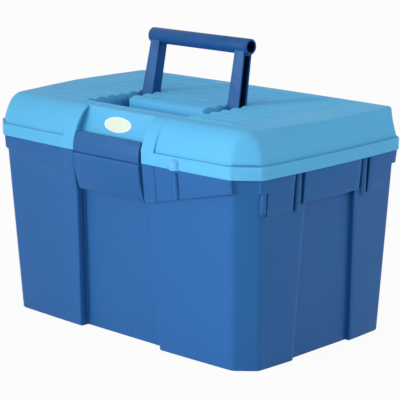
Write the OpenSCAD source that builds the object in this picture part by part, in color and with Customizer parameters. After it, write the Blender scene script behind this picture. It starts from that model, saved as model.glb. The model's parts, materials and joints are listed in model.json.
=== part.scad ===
// Horse grooming box: a moulded tub with a domed lid on a rear hinge, a flip latch at the
// front, a carrying handle that folds into a well in the lid, and a lift-out tray.
// Origin at the centre of the tub's bottom, +X along the length, -Y the front, +Z up.
// All lengths are in millimetres.

/* [Lid] */
// Length of the lid over its bowed ends
lid_len = 400; // [340:1:460]
// Width of the lid over its bowed long sides
lid_wid = 263.5; // [230:0.5:310]
// Height of the lid from its lower edge to its flat top
lid_h = 45.6; // [40:0.2:54]
// Wall thickness of the lid
lid_wall = 2.2; // [1.6:0.1:3]
// Height of the upright flange round the lid
flange_h = 13.5; // [10:0.5:18]
// Step back from the flange to the dome
ledge = 2.5; // [1:0.1:4]
// Outward bow of a side at its middle
side_bow = 3.4; // [0:0.1:6]
// Corner cut measured along the length
corner_l = 25; // [15:0.5:35]
// Corner cut measured along the width
corner_w = 20; // [12:0.5:30]
// How far the dome's long sides lean in from flange to top
lean_w = 22; // [14:0.5:26]
// How far the dome's ends lean in from flange to top
lean_l = 7; // [4:0.5:14]
// How much the dome's top narrows on each side towards the front
front_narrow = 16; // [0:0.5:20]
// Rows of moulded ripples on the top
rib_rows = 12; // [6:1:12]
// Distance between two ripples
rib_pitch = 16; // [12:0.5:16]
// Height of a ripple above the flat top
rib_rise = 1.3; // [0.5:0.1:2]
// Radius of a ripple's crest
rib_r = 14; // [8:0.5:20]
// Length of a ripple
rib_len = 290; // [200:1:310]
// Distance from the last ripple to the middle of the lid
rib_rear_y = 92; // [80:1:96]

/* [Tub] */
// Height of the tub from the bottom to the rim
tub_h = 200; // [170:1:240]
// Wall thickness of the tub
tub_wall = 2.5; // [1.8:0.1:4]
// How far the tub's walls stand inside the lid's flange at the rim
tub_inset = 5.3; // [4:0.1:8]
// How far the walls lean in from rim to bottom
tub_draft = 9.6; // [4:0.1:16]
// How far the rim band stands inside the lid's flange
band_inset = 1.2; // [0.6:0.1:2]
// How far the band's lowest edge stands proud of the wall
band_proud = 1.8; // [1:0.1:3]
// Height of the band at the corners
band_corner_h = 14; // [8:0.5:20]
// Height of the band at the middle of the long sides
band_front_h = 40; // [30:0.5:44]
// Half width of the band's level lower edge on the long sides
band_flat_x = 60; // [52:0.5:75]
// Height of the band on the ends
band_end_h = 38; // [30:0.5:42]
// Height of the band at the middle of the ends
band_mid_h = 33; // [26:0.5:40]
// Half width of the band on the ends
band_end_y = 97; // [80:0.5:100]
// Depth of the sunk panels in the long sides
panel_deep = 10; // [4:0.5:12]
// Depth of the sunk panels in the ends
panel_end_deep = 6; // [3:0.5:10]
// Half width of the long sides' panel at its top
panel_front_x = 55; // [53:0.5:60]
// Half width of the ends' panel at its top
panel_end_y = 44; // [30:0.5:47]
// How much wider a panel is at the bottom, on each side
panel_flare = 6; // [0:0.5:10]
// Width of the grooves at the ends of the band
groove_w = 15; // [10:0.5:18]
// Depth of these grooves, measured from the end's corners
groove_deep = 2.6; // [1:0.1:3.2]
// Distance from a groove to the middle of the end
groove_y = 52; // [50:0.5:60]
// Diameter of the half-round ribs in the grooves
groove_rib_d = 6.5; // [4:0.5:9]
// Length of these ribs
groove_rib_h = 40; // [30:0.5:44]
// Diameter of the small lugs beside the front corners
lug_d = 7; // [5:0.5:9]
// Height of these lugs
lug_h = 22; // [12:0.5:26]
// How far these lugs stand proud of the wall
lug_proud = 3.5; // [1:0.1:5]

/* [Tray rests] */
// Thickness of the gussets that carry the tray
rest_t = 8; // [4:0.5:12]
// Height of the gussets
rest_h = 36; // [20:1:50]
// Distance from the rim down to their top
rest_drop = 12; // [8:0.5:20]
// How far the tray's flange reaches over them
rest_reach = 6; // [3:0.5:8]

/* [Hinge] */
// Distance from each hinge to the middle of the rear
hinge_x = 110; // [70:1:130]
// Radius of the hinge knuckles
knuckle_r = 5; // [4:0.1:7]
// Length of the lid's knuckle
lid_knuckle = 24; // [14:0.5:40]
// Length of each of the tub's knuckles
tub_knuckle = 12; // [8:0.5:20]
// Diameter of the hinge pins
hinge_pin_d = 4; // [3:0.1:5]

/* [Latch] */
// Width of the latch
latch_w = 99.2; // [80:0.2:99.2]
// Distance from the rim up to the latch's top edge
latch_up = 21.5; // [18:0.5:21.5]
// Distance from the rim down to the latch's lower edge
latch_down = 40; // [32:0.5:46]
// Thickness of the latch
latch_t = 3; // [2:0.1:4]
// How far the latch's lower edge curves in
latch_sweep = 8; // [3:0.1:8.4]
// How far the latch's top edge leans back with the dome
latch_lean = 5; // [1:0.1:6]
// How far the latch's crease stands proud of the front
latch_proud = 2.4; // [0:0.1:2.6]
// Room for fingers behind the latch's lower edge
finger_gap = 8.4; // [4:0.1:10]
// Diameter of the latch pin
latch_pin_d = 4; // [2.5:0.1:4.4]
// Wall of the latch's barrel round its pin
barrel_wall = 1.6; // [1.2:0.1:1.8]
// Distance from the rim up to the latch pin
latch_pin_z = 15.5; // [14:0.1:16]
// Half width of the moulded frame beside the latch
frame_x = 68.5; // [60:0.5:80]
// How far the frame stands proud of the band
frame_proud = 0.9; // [0.4:0.1:1]
// How far the latch's hook reaches in behind its upper part
hook_out = 5.4; // [4:0.1:6.4]
// Width of the catch that the latch hooks
catch_w = 40; // [20:1:60]
// Height of the catch
catch_h = 4; // [2:0.1:6]
// Distance from the rim down to the catch's top
catch_drop = 10; // [6:0.5:14]

/* [Label and boss] */
// Width of the blank oval label
label_w = 40; // [20:0.5:70]
// Height of the label
label_h = 16.5; // [8:0.5:20]
// Thickness of the label
label_t = 0.5; // [0.3:0.1:1]
// Distance from the label to the middle of the front
label_x = 0; // [-15:0.5:15]
// How far the label sits below the middle of its panel
label_drop = 2.1; // [0:0.1:2.5]
// Distance from the top's front edge out to the badge panel's top edge
badge_out = 1.2; // [0.4:0.1:2]
// Distance from the moulded boss to the middle of the front
boss_x = 98; // [90:0.5:140]
// Diameter of the boss on the lid
boss_d = 12; // [6:0.5:14]
// How far the boss stands proud of the flange
boss_out = 3.4; // [1:0.1:4]
// Diameter of the ring at the boss's foot
boss_ring_d = 16; // [10:0.5:18]
// How far that ring stands proud of the flange
boss_ring_out = 4.2; // [1:0.1:5]
// Height of that ring
boss_ring_h = 2.5; // [1.5:0.1:4]
// Diameter of the rib below it on the tub
boss_rib_d = 6; // [4:0.5:9]
// How far that rib stands proud of the band
boss_rib_out = 2.4; // [1:0.1:3]
// Length of that rib
boss_rib_h = 28.5; // [15:0.5:30]
// Distance from the rim down to that rib
boss_rib_drop = 2.5; // [1:0.1:6]

/* [Handle] */
// Length of the grip
grip_len = 147; // [146:0.5:151]
// Diameter of the grip
grip_d = 17; // [14:0.5:18]
// Bore of the hollow grip
grip_bore = 12.5; // [8:0.5:12.5]
// Distance from the handle's pivot to the grip's axis
arm_len = 73.6; // [66:0.2:74]
// Depth of an arm from front to back
arm_deep = 13; // [10:0.5:13]
// Width of an arm at the grip
arm_top_w = 13; // [10:0.5:15]
// Width of an arm at the pivot
arm_foot_w = 17; // [12:0.5:19]
// Wall of an arm round its open channel
arm_wall = 3; // [2:0.1:4]
// Lean of the upright handle past vertical
handle_lean = 11.4; // [0:0.2:14]
// Diameter of the handle's pivot pins
handle_pin_d = 5; // [3:0.1:6]

/* [Handle well] */
// Half width of the well
well_x = 76.5; // [74.5:0.1:80]
// Distance from the well's front wall to the middle of the lid
well_front_y = 88; // [86:0.5:92]
// Distance from the well's rear wall to the middle of the lid
well_rear_y = 5; // [4.5:0.1:12]
// Depth of the well below the flat top
well_deep = 21.9; // [20:0.1:24]
// Half width of the tongue between the arms
tongue_x = 55.7; // [45:0.1:56]
// Distance from the tongue's front to the middle of the lid
tongue_front_y = 45; // [25:0.5:55]
// Depth of the handle's pivot below the flat top
pivot_deep = 10.4; // [10:0.1:12]
// Distance from the pivot to the middle of the lid
pivot_y = 4.5; // [2:0.1:5]

/* [Tray] */
// Depth of the tray
tray_h = 54; // [30:1:90]
// Wall thickness of the tray
tray_wall = 2; // [1.4:0.1:3]
// Width of the tray's flange along the long sides
tray_flange_w = 9; // [6:0.5:12]
// Width of the tray's flange at the ends
tray_flange_l = 10; // [8:0.5:16]
// Corner cut of the tray
tray_corner = 14; // [6:0.5:24]
// How far the tray's walls lean in
tray_draft = 4; // [2:0.5:8]
// Distance from the long divider to the middle of the tray
divider_y = 10; // [-20:0.5:30]
// Distance from the front cross dividers to the middle
divider_x = 58; // [40:0.5:90]
// Height of the lifting bar above the tray's flange
bar_up = 9; // [6:0.5:12]
// Width of the lifting bar
bar_w = 90; // [60:1:110]
// Height of the finger slot in the bar
bar_slot_h = 16; // [10:0.5:20]
// Width of the bar's rim round the slot
bar_wall = 5; // [3:0.5:8]

/* [Fits] */
// Gap between the closed lid and the rim
seat_gap = 0.3; // [0.2:0.05:0.6]
// Radial clearance of a pin in its hole
pin_clear = 0.05; // [0.02:0.01:0.1]
// Side gap between neighbouring moving pieces
side_gap = 0.4; // [0.3:0.05:0.8]
// Gap on each side of the latch
latch_gap = 0.8; // [0.5:0.1:1.5]
// Room behind the top edge of the swinging latch
swing_gap = 1.2; // [0.8:0.1:2]
// Gap between the handle's arms and the tongue between them
arm_gap = 0.8; // [0.5:0.1:1.2]
// Gap between the tray and the tub's walls
tray_gap = 3.6; // [2:0.1:6]
// Gap under a pin's head
head_gap = 0.1; // [0.05:0.05:0.3]
// Thickness of a pin's head
head_t = 1.5; // [1:0.1:3]
// How far a pin's head stands out beyond the pin
head_rim = 1.5; // [1:0.1:3]

/* [Hidden] */
$fn = 48;

// Longer than any cut is deep
over = lid_len;
// Sink of one solid into its own neighbour, so that they join
sink = lid_wall / 2;
tub_blue = [0.11, 0.26, 0.55];
lid_blue = [0.24, 0.58, 0.86];
steel = [0.72, 0.73, 0.75];
paper = [0.93, 0.94, 0.92];

// Outlines
bow_steps = 8;
half_l = lid_len / 2 - side_bow;
half_w = lid_wid / 2 - side_bow;
lid_z = tub_h + seat_gap;
top_z = lid_z + lid_h;
dome_z = lid_z + flange_h;
dome_h = lid_h - flange_h;
// Dome levels: height, lean of the long sides, lean of the ends, what is left of the corner cut
// and the narrowing towards the front
dome_shares = [
    [0.00, 0.00, 0.00, 0.93, 0.00],
    [0.26, 0.07, 0.15, 0.91, 0.02],
    [0.52, 0.22, 0.33, 0.81, 0.14],
    [0.75, 0.46, 0.54, 0.58, 0.42],
    [0.90, 0.70, 0.73, 0.33, 0.73],
    [0.97, 0.86, 0.86, 0.19, 0.91],
    [1.00, 1.00, 1.00, 0.12, 1.00]];

// Band and panels of the tub
tub_corner_l = corner_l - tub_inset;
tub_corner_w = corner_w - tub_inset / 2;
band_low_z = tub_h - max(band_front_h, band_end_h);
band_low_lean = tub_draft * (1 - band_low_z / tub_h) + tub_inset - band_proud;
band_slope = atan((band_low_lean - band_inset) / (tub_h - band_low_z));
wall_slope = atan(tub_draft / tub_h);
panel_front_z = tub_h - band_front_h;
panel_end_z = tub_h - band_mid_h;

// Latch bay, catch and pocket
front_y = lid_wid / 2;
pocket_x = latch_w / 2 + latch_gap;
latch_pin_y = front_y - latch_t - latch_pin_d / 2 - side_gap / 2;
barrel_r = latch_pin_d / 2 + barrel_wall;
latch_pin_len = 2 * pocket_x + 2 * lid_wall;
pocket_y = latch_pin_y - (latch_up - latch_pin_z) - swing_gap;
latch_y = front_y + latch_proud;
bay_y = latch_y - latch_t - latch_sweep - finger_gap;
pocket_top_z = tub_h + latch_up - side_gap;
panel_top_y = half_w + side_bow - ledge - lean_w + badge_out;
hook_y = front_y - latch_t - hook_out;
catch_y = hook_y - side_gap;

// Face of the flange where the boss stands
boss_face_y = half_w + bowed(side_bow, boss_x / (half_l - corner_l));

// Hinge
hinge_y = lid_wid / 2 + knuckle_r + side_gap;
hinge_span = lid_knuckle / 2 + side_gap + tub_knuckle;

// Handle and well
pivot_z = top_z - pivot_deep;
well_z = top_z - well_deep;
arm_inner_x = tongue_x + arm_gap;
handle_pin_x = well_x + lid_wall + head_gap;

// Tray
rest_z = tub_h - rest_drop;
tray_z = rest_z + seat_gap;
tray_half_l = half_l - tub_inset - tub_wall - rest_reach / 2;
tray_half_w = bay_y - tub_wall - tray_gap;
tray_low_z = tray_z - tray_h + tray_wall;
tray_body_l = tray_half_l - tray_flange_l;
tray_body_w = tray_half_w - tray_flange_w;

// Offset of a bowed side at the share t of its half length
function bowed(bow, t) = bow * (1 - t * t);

// Closed outline with cut corners and bowed sides, front side first
function ring(hl, hw, cl, cw, bow, z) =
    let (steps = bow > 0 ? bow_steps : 1, ts = [for (i = [0 : steps]) 2 * i / steps - 1])
    concat(
        [for (t = ts) [(hl - cl) * t, -hw - bowed(bow, t), z]],
        [for (t = ts) [hl + bowed(bow, t), (hw - cw) * t, z]],
        [for (t = ts) [(cl - hl) * t, hw + bowed(bow, t), z]],
        [for (t = ts) [-hl - bowed(bow, t), (cw - hw) * t, z]]);

// Outline drawn in at its ends towards the front, by the given amount on each side
function narrowed(outline, hl, hw, amount) =
    [for (p = outline) [p[0] * (1 - amount / hl * max(0, -p[1]) / hw), p[1], p[2]]];

// Solid through a stack of rings
module loft(rings) {
    count = len(rings[0]);
    levels = len(rings);
    points = [for (r = rings) for (p = r) p];
    sides = [for (i = [0 : levels - 2]) for (j = [0 : count - 1])
        let (k = (j + 1) % count, a = i * count, b = a + count)
        each [[a + j, b + k, a + k], [a + j, b + j, b + k]]];
    low = [for (j = [0 : count - 1]) j];
    high = [for (j = [count - 1 : -1 : 0]) (levels - 1) * count + j];
    polyhedron(points, concat([low], sides, [high]));
}

// Round bar along X, centred at the given place
module bar_x(d, length, x, y, z) {
    translate([x - length / 2, y, z]) rotate([0, 90, 0]) cylinder(d = d, h = length);
}

// Box from its lowest and highest corners
module box(low, high) {
    translate(low) cube(high - low);
}

// Profile drawn as [y, z] points, run along X about the middle
module along_x(width, points) {
    translate([-width / 2, 0, 0]) rotate([90, 0, 90]) linear_extrude(width) polygon(points);
}

// Profile drawn as [x, z] points, run along Y about the middle
module along_y(width, points) {
    translate([0, width / 2, 0]) rotate([90, 0, 0]) linear_extrude(width) polygon(points);
}

// Tub outline, grown outward by the given amount at the rim and at the bottom
module tub_loft(low_z, high_z, grow) {
    loft([for (z = [low_z, high_z])
        let (lean = tub_draft * (1 - z / tub_h) + tub_inset - grow)
        ring(half_l - lean, half_w - lean, tub_corner_l, tub_corner_w, side_bow, z)]);
}

// Rim band: from the lid's flange down to just proud of the wall
module band_loft(grow) {
    low = band_low_lean - grow;
    high = band_inset - grow;
    loft([
        ring(half_l - low, half_w - low, tub_corner_l, tub_corner_w, side_bow, band_low_z),
        ring(half_l - high, half_w - high, corner_l, corner_w, side_bow, tub_h)]);
}

// Lower edge of the band on the long sides, then on the ends
module band_region() {
    corner_z = tub_h - band_corner_h;
    along_y(2 * over, [
        [-lid_len, tub_h], [-lid_len, corner_z], [corner_l - half_l, corner_z],
        [-band_flat_x, tub_h - band_front_h], [band_flat_x, tub_h - band_front_h],
        [half_l - corner_l, corner_z], [lid_len, corner_z], [lid_len, tub_h]]);
    along_x(2 * over, [
        [-lid_wid, tub_h], [-lid_wid, corner_z], [-band_end_y, corner_z],
        [-band_end_y, tub_h - band_end_h], [-groove_y, tub_h - band_end_h],
        [-groove_y, tub_h - band_mid_h], [groove_y, tub_h - band_mid_h],
        [groove_y, tub_h - band_end_h], [band_end_y, tub_h - band_end_h],
        [band_end_y, corner_z], [lid_wid, corner_z], [lid_wid, tub_h]]);
}

// Sunk panels of the long sides and ends, moved in by a wall for the inside
module panels(wall) {
    low_w = half_w - tub_inset - tub_draft + side_bow - panel_deep - wall;
    low_l = half_l - tub_inset - tub_draft + side_bow - panel_end_deep - wall;
    front_x = panel_front_x + wall;
    end_y = panel_end_y + wall;
    for (turn = [0, 180]) rotate([0, 0, turn]) {
        translate([0, -low_w, 0]) rotate([wall_slope, 0, 0]) translate([0, -over / 2, 0])
            along_y(over, [
                [-front_x - panel_flare, -over], [front_x + panel_flare, -over],
                [front_x + panel_flare, 0], [front_x, panel_front_z + wall],
                [-front_x, panel_front_z + wall], [-front_x - panel_flare, 0]]);
        translate([low_l, 0, 0]) rotate([0, wall_slope, 0]) translate([over / 2, 0, 0])
            along_x(over, [
                [-end_y - 2 * panel_flare, -over], [end_y + 2 * panel_flare, -over],
                [end_y + 2 * panel_flare, 0], [end_y, panel_end_z + wall],
                [-end_y, panel_end_z + wall], [-end_y - 2 * panel_flare, 0]]);
    }
}

// Bay behind the latch, moved in by a wall for the inside
module latch_bay(wall) {
    side_x = pocket_x + wall;
    box([-side_x, -over, tub_h - latch_down - latch_t - wall], [side_x, wall - bay_y, over]);
}

// Half-round rib or lug on a wall, hung from its top and leaning back with the wall below
module hung_rib(d, length, slope) {
    rotate([slope, 0, 0]) mirror([0, 0, 1]) cylinder(d = d, h = length);
}

// Grooves in the ends of the band, with floors that lean with the wall
module grooves() {
    for (turn = [0, 180]) rotate([0, 0, turn]) for (y = [-groove_y, groove_y])
        translate([half_l - band_inset - groove_deep, y, tub_h]) rotate([0, wall_slope, 0])
            box([0, -groove_w / 2, -band_end_h], [over, groove_w / 2, over]);
}

// Half-round ribs in these grooves
module groove_ribs() {
    rib_x = half_l - band_inset - groove_deep / 2;
    for (turn = [0, 180]) rotate([0, 0, turn]) for (y = [-groove_y, groove_y])
        translate([rib_x, y, tub_h - seat_gap]) rotate([0, 0, 90])
            hung_rib(groove_rib_d, groove_rib_h, wall_slope);
}

// Lugs on the ends, beside the front corners
module lugs() {
    lug_z = tub_h - band_corner_h;
    lug_x = half_l - tub_inset - tub_draft * band_corner_h / tub_h + lug_proud - lug_d / 2;
    for (side = [0, 1]) mirror([side, 0, 0])
        translate([lug_x, -band_end_y - lug_d / 2, lug_z]) rotate([0, 0, 90])
            hung_rib(lug_d, lug_h, wall_slope);
}

// Knuckles of the tub or lid round the hinge pins, with leaves that reach into the wall
module knuckles(starts, length, wall_y, low_z, high_z) {
    for (start = starts) {
        bar_x(2 * knuckle_r, length, start + length / 2, hinge_y, tub_h);
        box([start, wall_y, low_z], [start + length, hinge_y, high_z]);
    }
}

// Holes for both hinge pins
module hinge_holes() {
    for (x = [-hinge_x, hinge_x])
        bar_x(hinge_pin_d + 2 * pin_clear, 2 * (hinge_span + head_gap), x, hinge_y, tub_h);
}

// Gussets that carry the tray, at both ends
module tray_rests() {
    wall_x = half_l - tub_inset;
    inner_x = tray_half_l - rest_reach;
    for (turn = [0, 180]) rotate([0, 0, turn]) for (y = [-groove_y, groove_y])
        translate([0, y, 0]) along_y(rest_t, [
            [wall_x, rest_z - rest_h], [wall_x, rest_z], [inner_x, rest_z],
            [inner_x, rest_z - tub_wall]]);
}

module tub() {
    color(tub_blue) difference() {
        union() {
            difference() {
                union() {
                    tub_loft(0, tub_h, 0);
                    intersection() {
                        band_loft(0);
                        band_region();
                    }
                    intersection() {
                        band_loft(frame_proud);
                        box([-frame_x, -over, tub_h - band_front_h], [frame_x, 0, tub_h]);
                    }
                }
                panels(0);
                latch_bay(0);
                grooves();
            }
            groove_ribs();
            lugs();
            translate([boss_x, boss_rib_d / 2 - boss_rib_out + band_inset - boss_face_y,
                       tub_h - boss_rib_drop])
                hung_rib(boss_rib_d, boss_rib_h, band_slope);
            box([-catch_w / 2, -catch_y, tub_h - catch_drop - catch_h],
                [catch_w / 2, sink - bay_y, tub_h - catch_drop]);
            for (x = [-hinge_x, hinge_x])
                knuckles([x - hinge_span, x + hinge_span - tub_knuckle], tub_knuckle,
                    half_w - tub_inset, tub_h - 2 * knuckle_r, tub_h);
        }
        difference() {
            tub_loft(tub_wall, tub_h + tub_wall, -tub_wall);
            panels(tub_wall);
            latch_bay(tub_wall);
            tray_rests();
        }
        hinge_holes();
    }
}

// Dome of the lid; step is its distance behind the flange at the foot, shrink a wall
module dome(step, shrink) {
    loft([for (s = dome_shares)
        let (back = step + (ledge - step) * s[0] + shrink,
            hl = half_l - back - lean_l * s[2], hw = half_w - back - lean_w * s[1],
            z = dome_z + dome_h * s[0] - shrink,
            outline = ring(hl, hw, corner_l * s[3], corner_w * s[3], side_bow, z))
        narrowed(outline, hl, hw, front_narrow * s[4])]);
}

// Upright flange of the lid
module flange(shrink, low_z) {
    loft([for (z = [low_z, dome_z - shrink])
        ring(half_l - shrink, half_w - shrink, corner_l, corner_w, side_bow, z)]);
}

// Pocket of the latch and the sloping badge panel above it, moved in by a wall
module pocket(wall) {
    along_x(2 * pocket_x + 2 * wall, [
        [-over, -over], [wall - pocket_y, -over], [wall - pocket_y, pocket_top_z],
        [wall - panel_top_y, top_z], [wall - panel_top_y, over], [-over, over]]);
}

// Well for the folded handle; wall is the thickness round it
module well(wall) {
    difference() {
        box([-well_x - wall, -well_front_y - wall, well_z - wall], [well_x + wall, well_rear_y + wall, over]);
        box([wall - tongue_x, wall - tongue_front_y, 0], [tongue_x - wall, over, over]);
    }
}

// Moulded ripples on the flat top
module ripples() {
    depth = rib_r - rib_rise;
    for (i = [0 : rib_rows - 1])
        translate([-rib_len / 2, rib_rear_y - i * rib_pitch, top_z - depth]) rotate([90, 0, 90])
            linear_extrude(rib_len) intersection() {
                circle(r = rib_r);
                translate([-rib_r, depth - sink]) square([2 * rib_r, rib_r]);
            }
}

module lid_outside() {
    flange(0, lid_z);
    dome(ledge, 0);
    intersection() {
        dome(0, 0);
        box([-frame_x, -over, lid_z], [frame_x, 0, over]);
    }
    boss(boss_d, boss_out, flange_h - ledge);
    boss(boss_ring_d, boss_ring_out, boss_ring_h);
}

// Upright round boss on the front of the flange
module boss(d, proud, height) {
    translate([boss_x, d / 2 - proud - boss_face_y, lid_z]) cylinder(d = d, h = height);
}

module lid() {
    color(lid_blue) difference() {
        union() {
            difference() {
                lid_outside();
                difference() {
                    union() {
                        flange(lid_wall, lid_z - lid_wall);
                        dome(ledge, lid_wall);
                    }
                    well(lid_wall);
                    pocket(lid_wall);
                }
            }
            ripples();
            for (x = [-hinge_x, hinge_x])
                knuckles([x - lid_knuckle / 2], lid_knuckle, half_w, lid_z, tub_h + knuckle_r);
        }
        well(0);
        pocket(0);
        hinge_holes();
        bar_x(latch_pin_d + 2 * pin_clear, latch_pin_len + 2 * head_gap, 0, -latch_pin_y,
            tub_h + latch_pin_z);
        bar_x(handle_pin_d + 2 * pin_clear, 2 * handle_pin_x, 0, -pivot_y, pivot_z);
    }
}

// Pin along X with a head at its outer end; side is -1 for left and 1 for right
module headed_pin(d, inner_x, outer_x, side, y, z) {
    mirror([side < 0 ? 1 : 0, 0, 0]) {
        bar_x(d, outer_x - inner_x, (outer_x + inner_x) / 2, y, z);
        bar_x(d + 2 * head_rim, head_t, outer_x + head_t / 2, y, z);
    }
}

module hinge_pin(side) {
    color(steel) headed_pin(hinge_pin_d, hinge_x - hinge_span, hinge_x + hinge_span + head_gap,
        side, hinge_y, tub_h);
}

module hinge_pin_left() {
    hinge_pin(-1);
}

module hinge_pin_right() {
    hinge_pin(1);
}

module handle_pin(side) {
    color(steel) headed_pin(handle_pin_d, tongue_x - lid_wall, handle_pin_x, side, -pivot_y, pivot_z);
}

module handle_pin_left() {
    handle_pin(-1);
}

module handle_pin_right() {
    handle_pin(1);
}

module latch_pin() {
    color(steel) bar_x(latch_pin_d, latch_pin_len, 0, -latch_pin_y, tub_h + latch_pin_z);
}

module latch_flap() {
    steps = 8;
    crease = latch_t / 4;
    face = -latch_y;
    up_curve = [for (i = [steps : -1 : 1]) let (s = i / steps)
        [face + latch_lean * s * s * s, tub_h + latch_up * s]];
    low_curve = [for (i = [0 : steps]) let (s = i / steps)
        [face + latch_sweep * s * s, tub_h - latch_down * s]];
    front = concat(up_curve, low_curve);
    back = [for (i = [len(front) - 1 : -1 : 0]) [front[i][0] + latch_t, front[i][1]]];
    lip = low_curve[steps];
    hook_drop = catch_drop + catch_h + side_gap;
    hook_share = (hook_drop + catch_h) / latch_down;
    color(tub_blue) difference() {
        union() {
            along_x(latch_w, concat(front, back));
            bar_x(2 * barrel_r, latch_w, 0, -latch_pin_y, tub_h + latch_pin_z);
            bar_x(latch_t, latch_w, 0, lip[0] + latch_t / 2, lip[1]);
            box([-catch_w / 2, face + latch_sweep * hook_share * hook_share + latch_t / 2,
                 tub_h - hook_drop - catch_h],
                [catch_w / 2, -hook_y, tub_h - hook_drop]);
        }
        bar_x(latch_pin_d + 2 * pin_clear, 2 * latch_w, 0, -latch_pin_y, tub_h + latch_pin_z);
        box([-latch_w, -over, tub_h - crease / 2], [latch_w, face + crease, tub_h + crease / 2]);
    }
}

// One arm on the right, upright, with its pivot at the origin's height
module arm_outline(grow, outer) {
    foot_x = arm_inner_x + arm_foot_w + outer;
    top_x = arm_inner_x + arm_top_w + outer;
    along_y(arm_deep - 2 * grow, [
        [arm_inner_x + grow, 0], [foot_x, 0], [top_x, arm_len - grow], [arm_inner_x + grow, arm_len - grow]]);
}

module carry_handle() {
    channel_top = grip_d / 2;
    color(tub_blue) translate([0, -pivot_y, pivot_z]) rotate([-handle_lean, 0, 0]) difference() {
        union() {
            bar_x(grip_d, grip_len, 0, 0, arm_len);
            for (side = [0, 1]) mirror([side, 0, 0]) {
                arm_outline(0, 0);
                bar_x(arm_deep, arm_foot_w, arm_inner_x + arm_foot_w / 2, 0, 0);
            }
        }
        bar_x(grip_bore, 2 * grip_len, 0, 0, arm_len);
        for (side = [0, 1]) mirror([side, 0, 0]) difference() {
            arm_outline(arm_wall, over);
            box([0, -over, arm_len - channel_top - arm_wall], [over, over, over]);
            bar_x(arm_deep, over, 0, 0, 0);
        }
        bar_x(handle_pin_d + 2 * pin_clear, 2 * grip_len, 0, 0, 0);
    }
}

// Tray outline with cut corners, flared from the tray's bottom to its flange
module tray_loft(grow, low_z, high_z) {
    loft([for (z = [low_z, high_z])
        let (lean = tray_draft * (tray_z - z) / tray_h - grow)
        ring(tray_body_l - lean, tray_body_w - lean, tray_corner, tray_corner, 0, z)]);
}

// Moulded walls between the tray's compartments
module tray_dividers() {
    half = tray_wall / 2;
    box([-over, divider_y - half, 0], [over, divider_y + half, over]);
    box([-half, divider_y, 0], [half, over, over]);
    for (x = [-divider_x, divider_x]) box([x - half, -over, 0], [x + half, divider_y, over]);
}

module insert_tray() {
    flange_top = tray_z + tray_wall;
    bar_top = flange_top + bar_up;
    slot_z = bar_top - bar_wall - bar_slot_h / 2;
    slot_half = bar_w / 2 - bar_wall - bar_slot_h / 2;
    color(lid_blue) difference() {
        union() {
            difference() {
                union() {
                    tray_loft(0, tray_low_z, flange_top);
                    loft([for (z = [tray_z, flange_top])
                        ring(tray_half_l, tray_half_w, tray_corner, tray_corner, 0, z)]);
                }
                difference() {
                    tray_loft(-tray_wall, tray_low_z + tray_wall, bar_top);
                    tray_dividers();
                }
            }
            box([-bar_w / 2, divider_y - tray_wall, slot_z - bar_slot_h / 2 - bar_wall],
                [bar_w / 2, divider_y + tray_wall, bar_top]);
        }
        box([-slot_half, divider_y - bar_w, slot_z - bar_slot_h / 2],
            [slot_half, divider_y + bar_w, slot_z + bar_slot_h / 2]);
        for (x = [-slot_half, slot_half]) translate([x, divider_y + bar_w, slot_z])
            rotate([90, 0, 0]) cylinder(d = bar_slot_h, h = 2 * bar_w);
    }
}

// Thin oval on the badge panel
module badge_label() {
    steps = 48;
    rise = top_z - pocket_top_z;
    run = pocket_y - panel_top_y;
    slope = atan(run / rise);
    color(paper) translate([label_x, -(pocket_y + panel_top_y) / 2, (top_z + pocket_top_z) / 2])
        rotate([90 - slope, 0, 0]) translate([0, -label_drop, 0]) linear_extrude(label_t)
            polygon([for (i = [0 : steps - 1]) let (a = 360 * i / steps)
                [label_w / 2 * cos(a), label_h / 2 * sin(a)]]);
}

tub();
lid();
hinge_pin_left();
hinge_pin_right();
latch_flap();
latch_pin();
carry_handle();
handle_pin_left();
handle_pin_right();
insert_tray();
badge_label();
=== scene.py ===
import json
import math

import bmesh
import bpy
from mathutils import Matrix, Vector


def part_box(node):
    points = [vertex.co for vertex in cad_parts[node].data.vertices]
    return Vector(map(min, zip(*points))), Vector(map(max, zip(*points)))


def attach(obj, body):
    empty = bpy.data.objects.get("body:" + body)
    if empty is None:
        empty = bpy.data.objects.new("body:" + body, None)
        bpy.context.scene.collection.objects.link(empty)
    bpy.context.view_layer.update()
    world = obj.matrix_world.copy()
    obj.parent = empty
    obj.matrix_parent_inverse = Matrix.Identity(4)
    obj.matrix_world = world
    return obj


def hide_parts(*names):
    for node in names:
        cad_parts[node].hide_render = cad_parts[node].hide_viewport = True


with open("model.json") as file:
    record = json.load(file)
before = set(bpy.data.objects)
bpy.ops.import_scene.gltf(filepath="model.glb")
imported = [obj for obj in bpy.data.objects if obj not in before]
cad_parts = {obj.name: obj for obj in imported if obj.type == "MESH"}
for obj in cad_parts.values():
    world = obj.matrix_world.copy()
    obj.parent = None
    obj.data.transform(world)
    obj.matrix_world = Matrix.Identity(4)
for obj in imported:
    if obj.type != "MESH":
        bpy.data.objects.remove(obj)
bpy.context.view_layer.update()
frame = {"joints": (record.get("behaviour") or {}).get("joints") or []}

mm = 0.001  # sizes below are in millimetres, meshes in metres
weldGap = 0.004  # points closer than this become one
wallHalf = 0.1  # half of the run that an upright moulded wall takes
cornerSteps = 4  # points of each of a corner's two roundings
softShare = 0.3  # where the middle point of a small rounded edge lies
tipGap = 0.01  # keeps the points of two round ends apart


def boxOf(node):
    low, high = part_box(node)
    return low / mm, high / mm


def jointAt(name):
    for joint in frame["joints"]:
        if joint["name"] == name:
            return Vector(joint["pos_m"]) / mm


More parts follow.
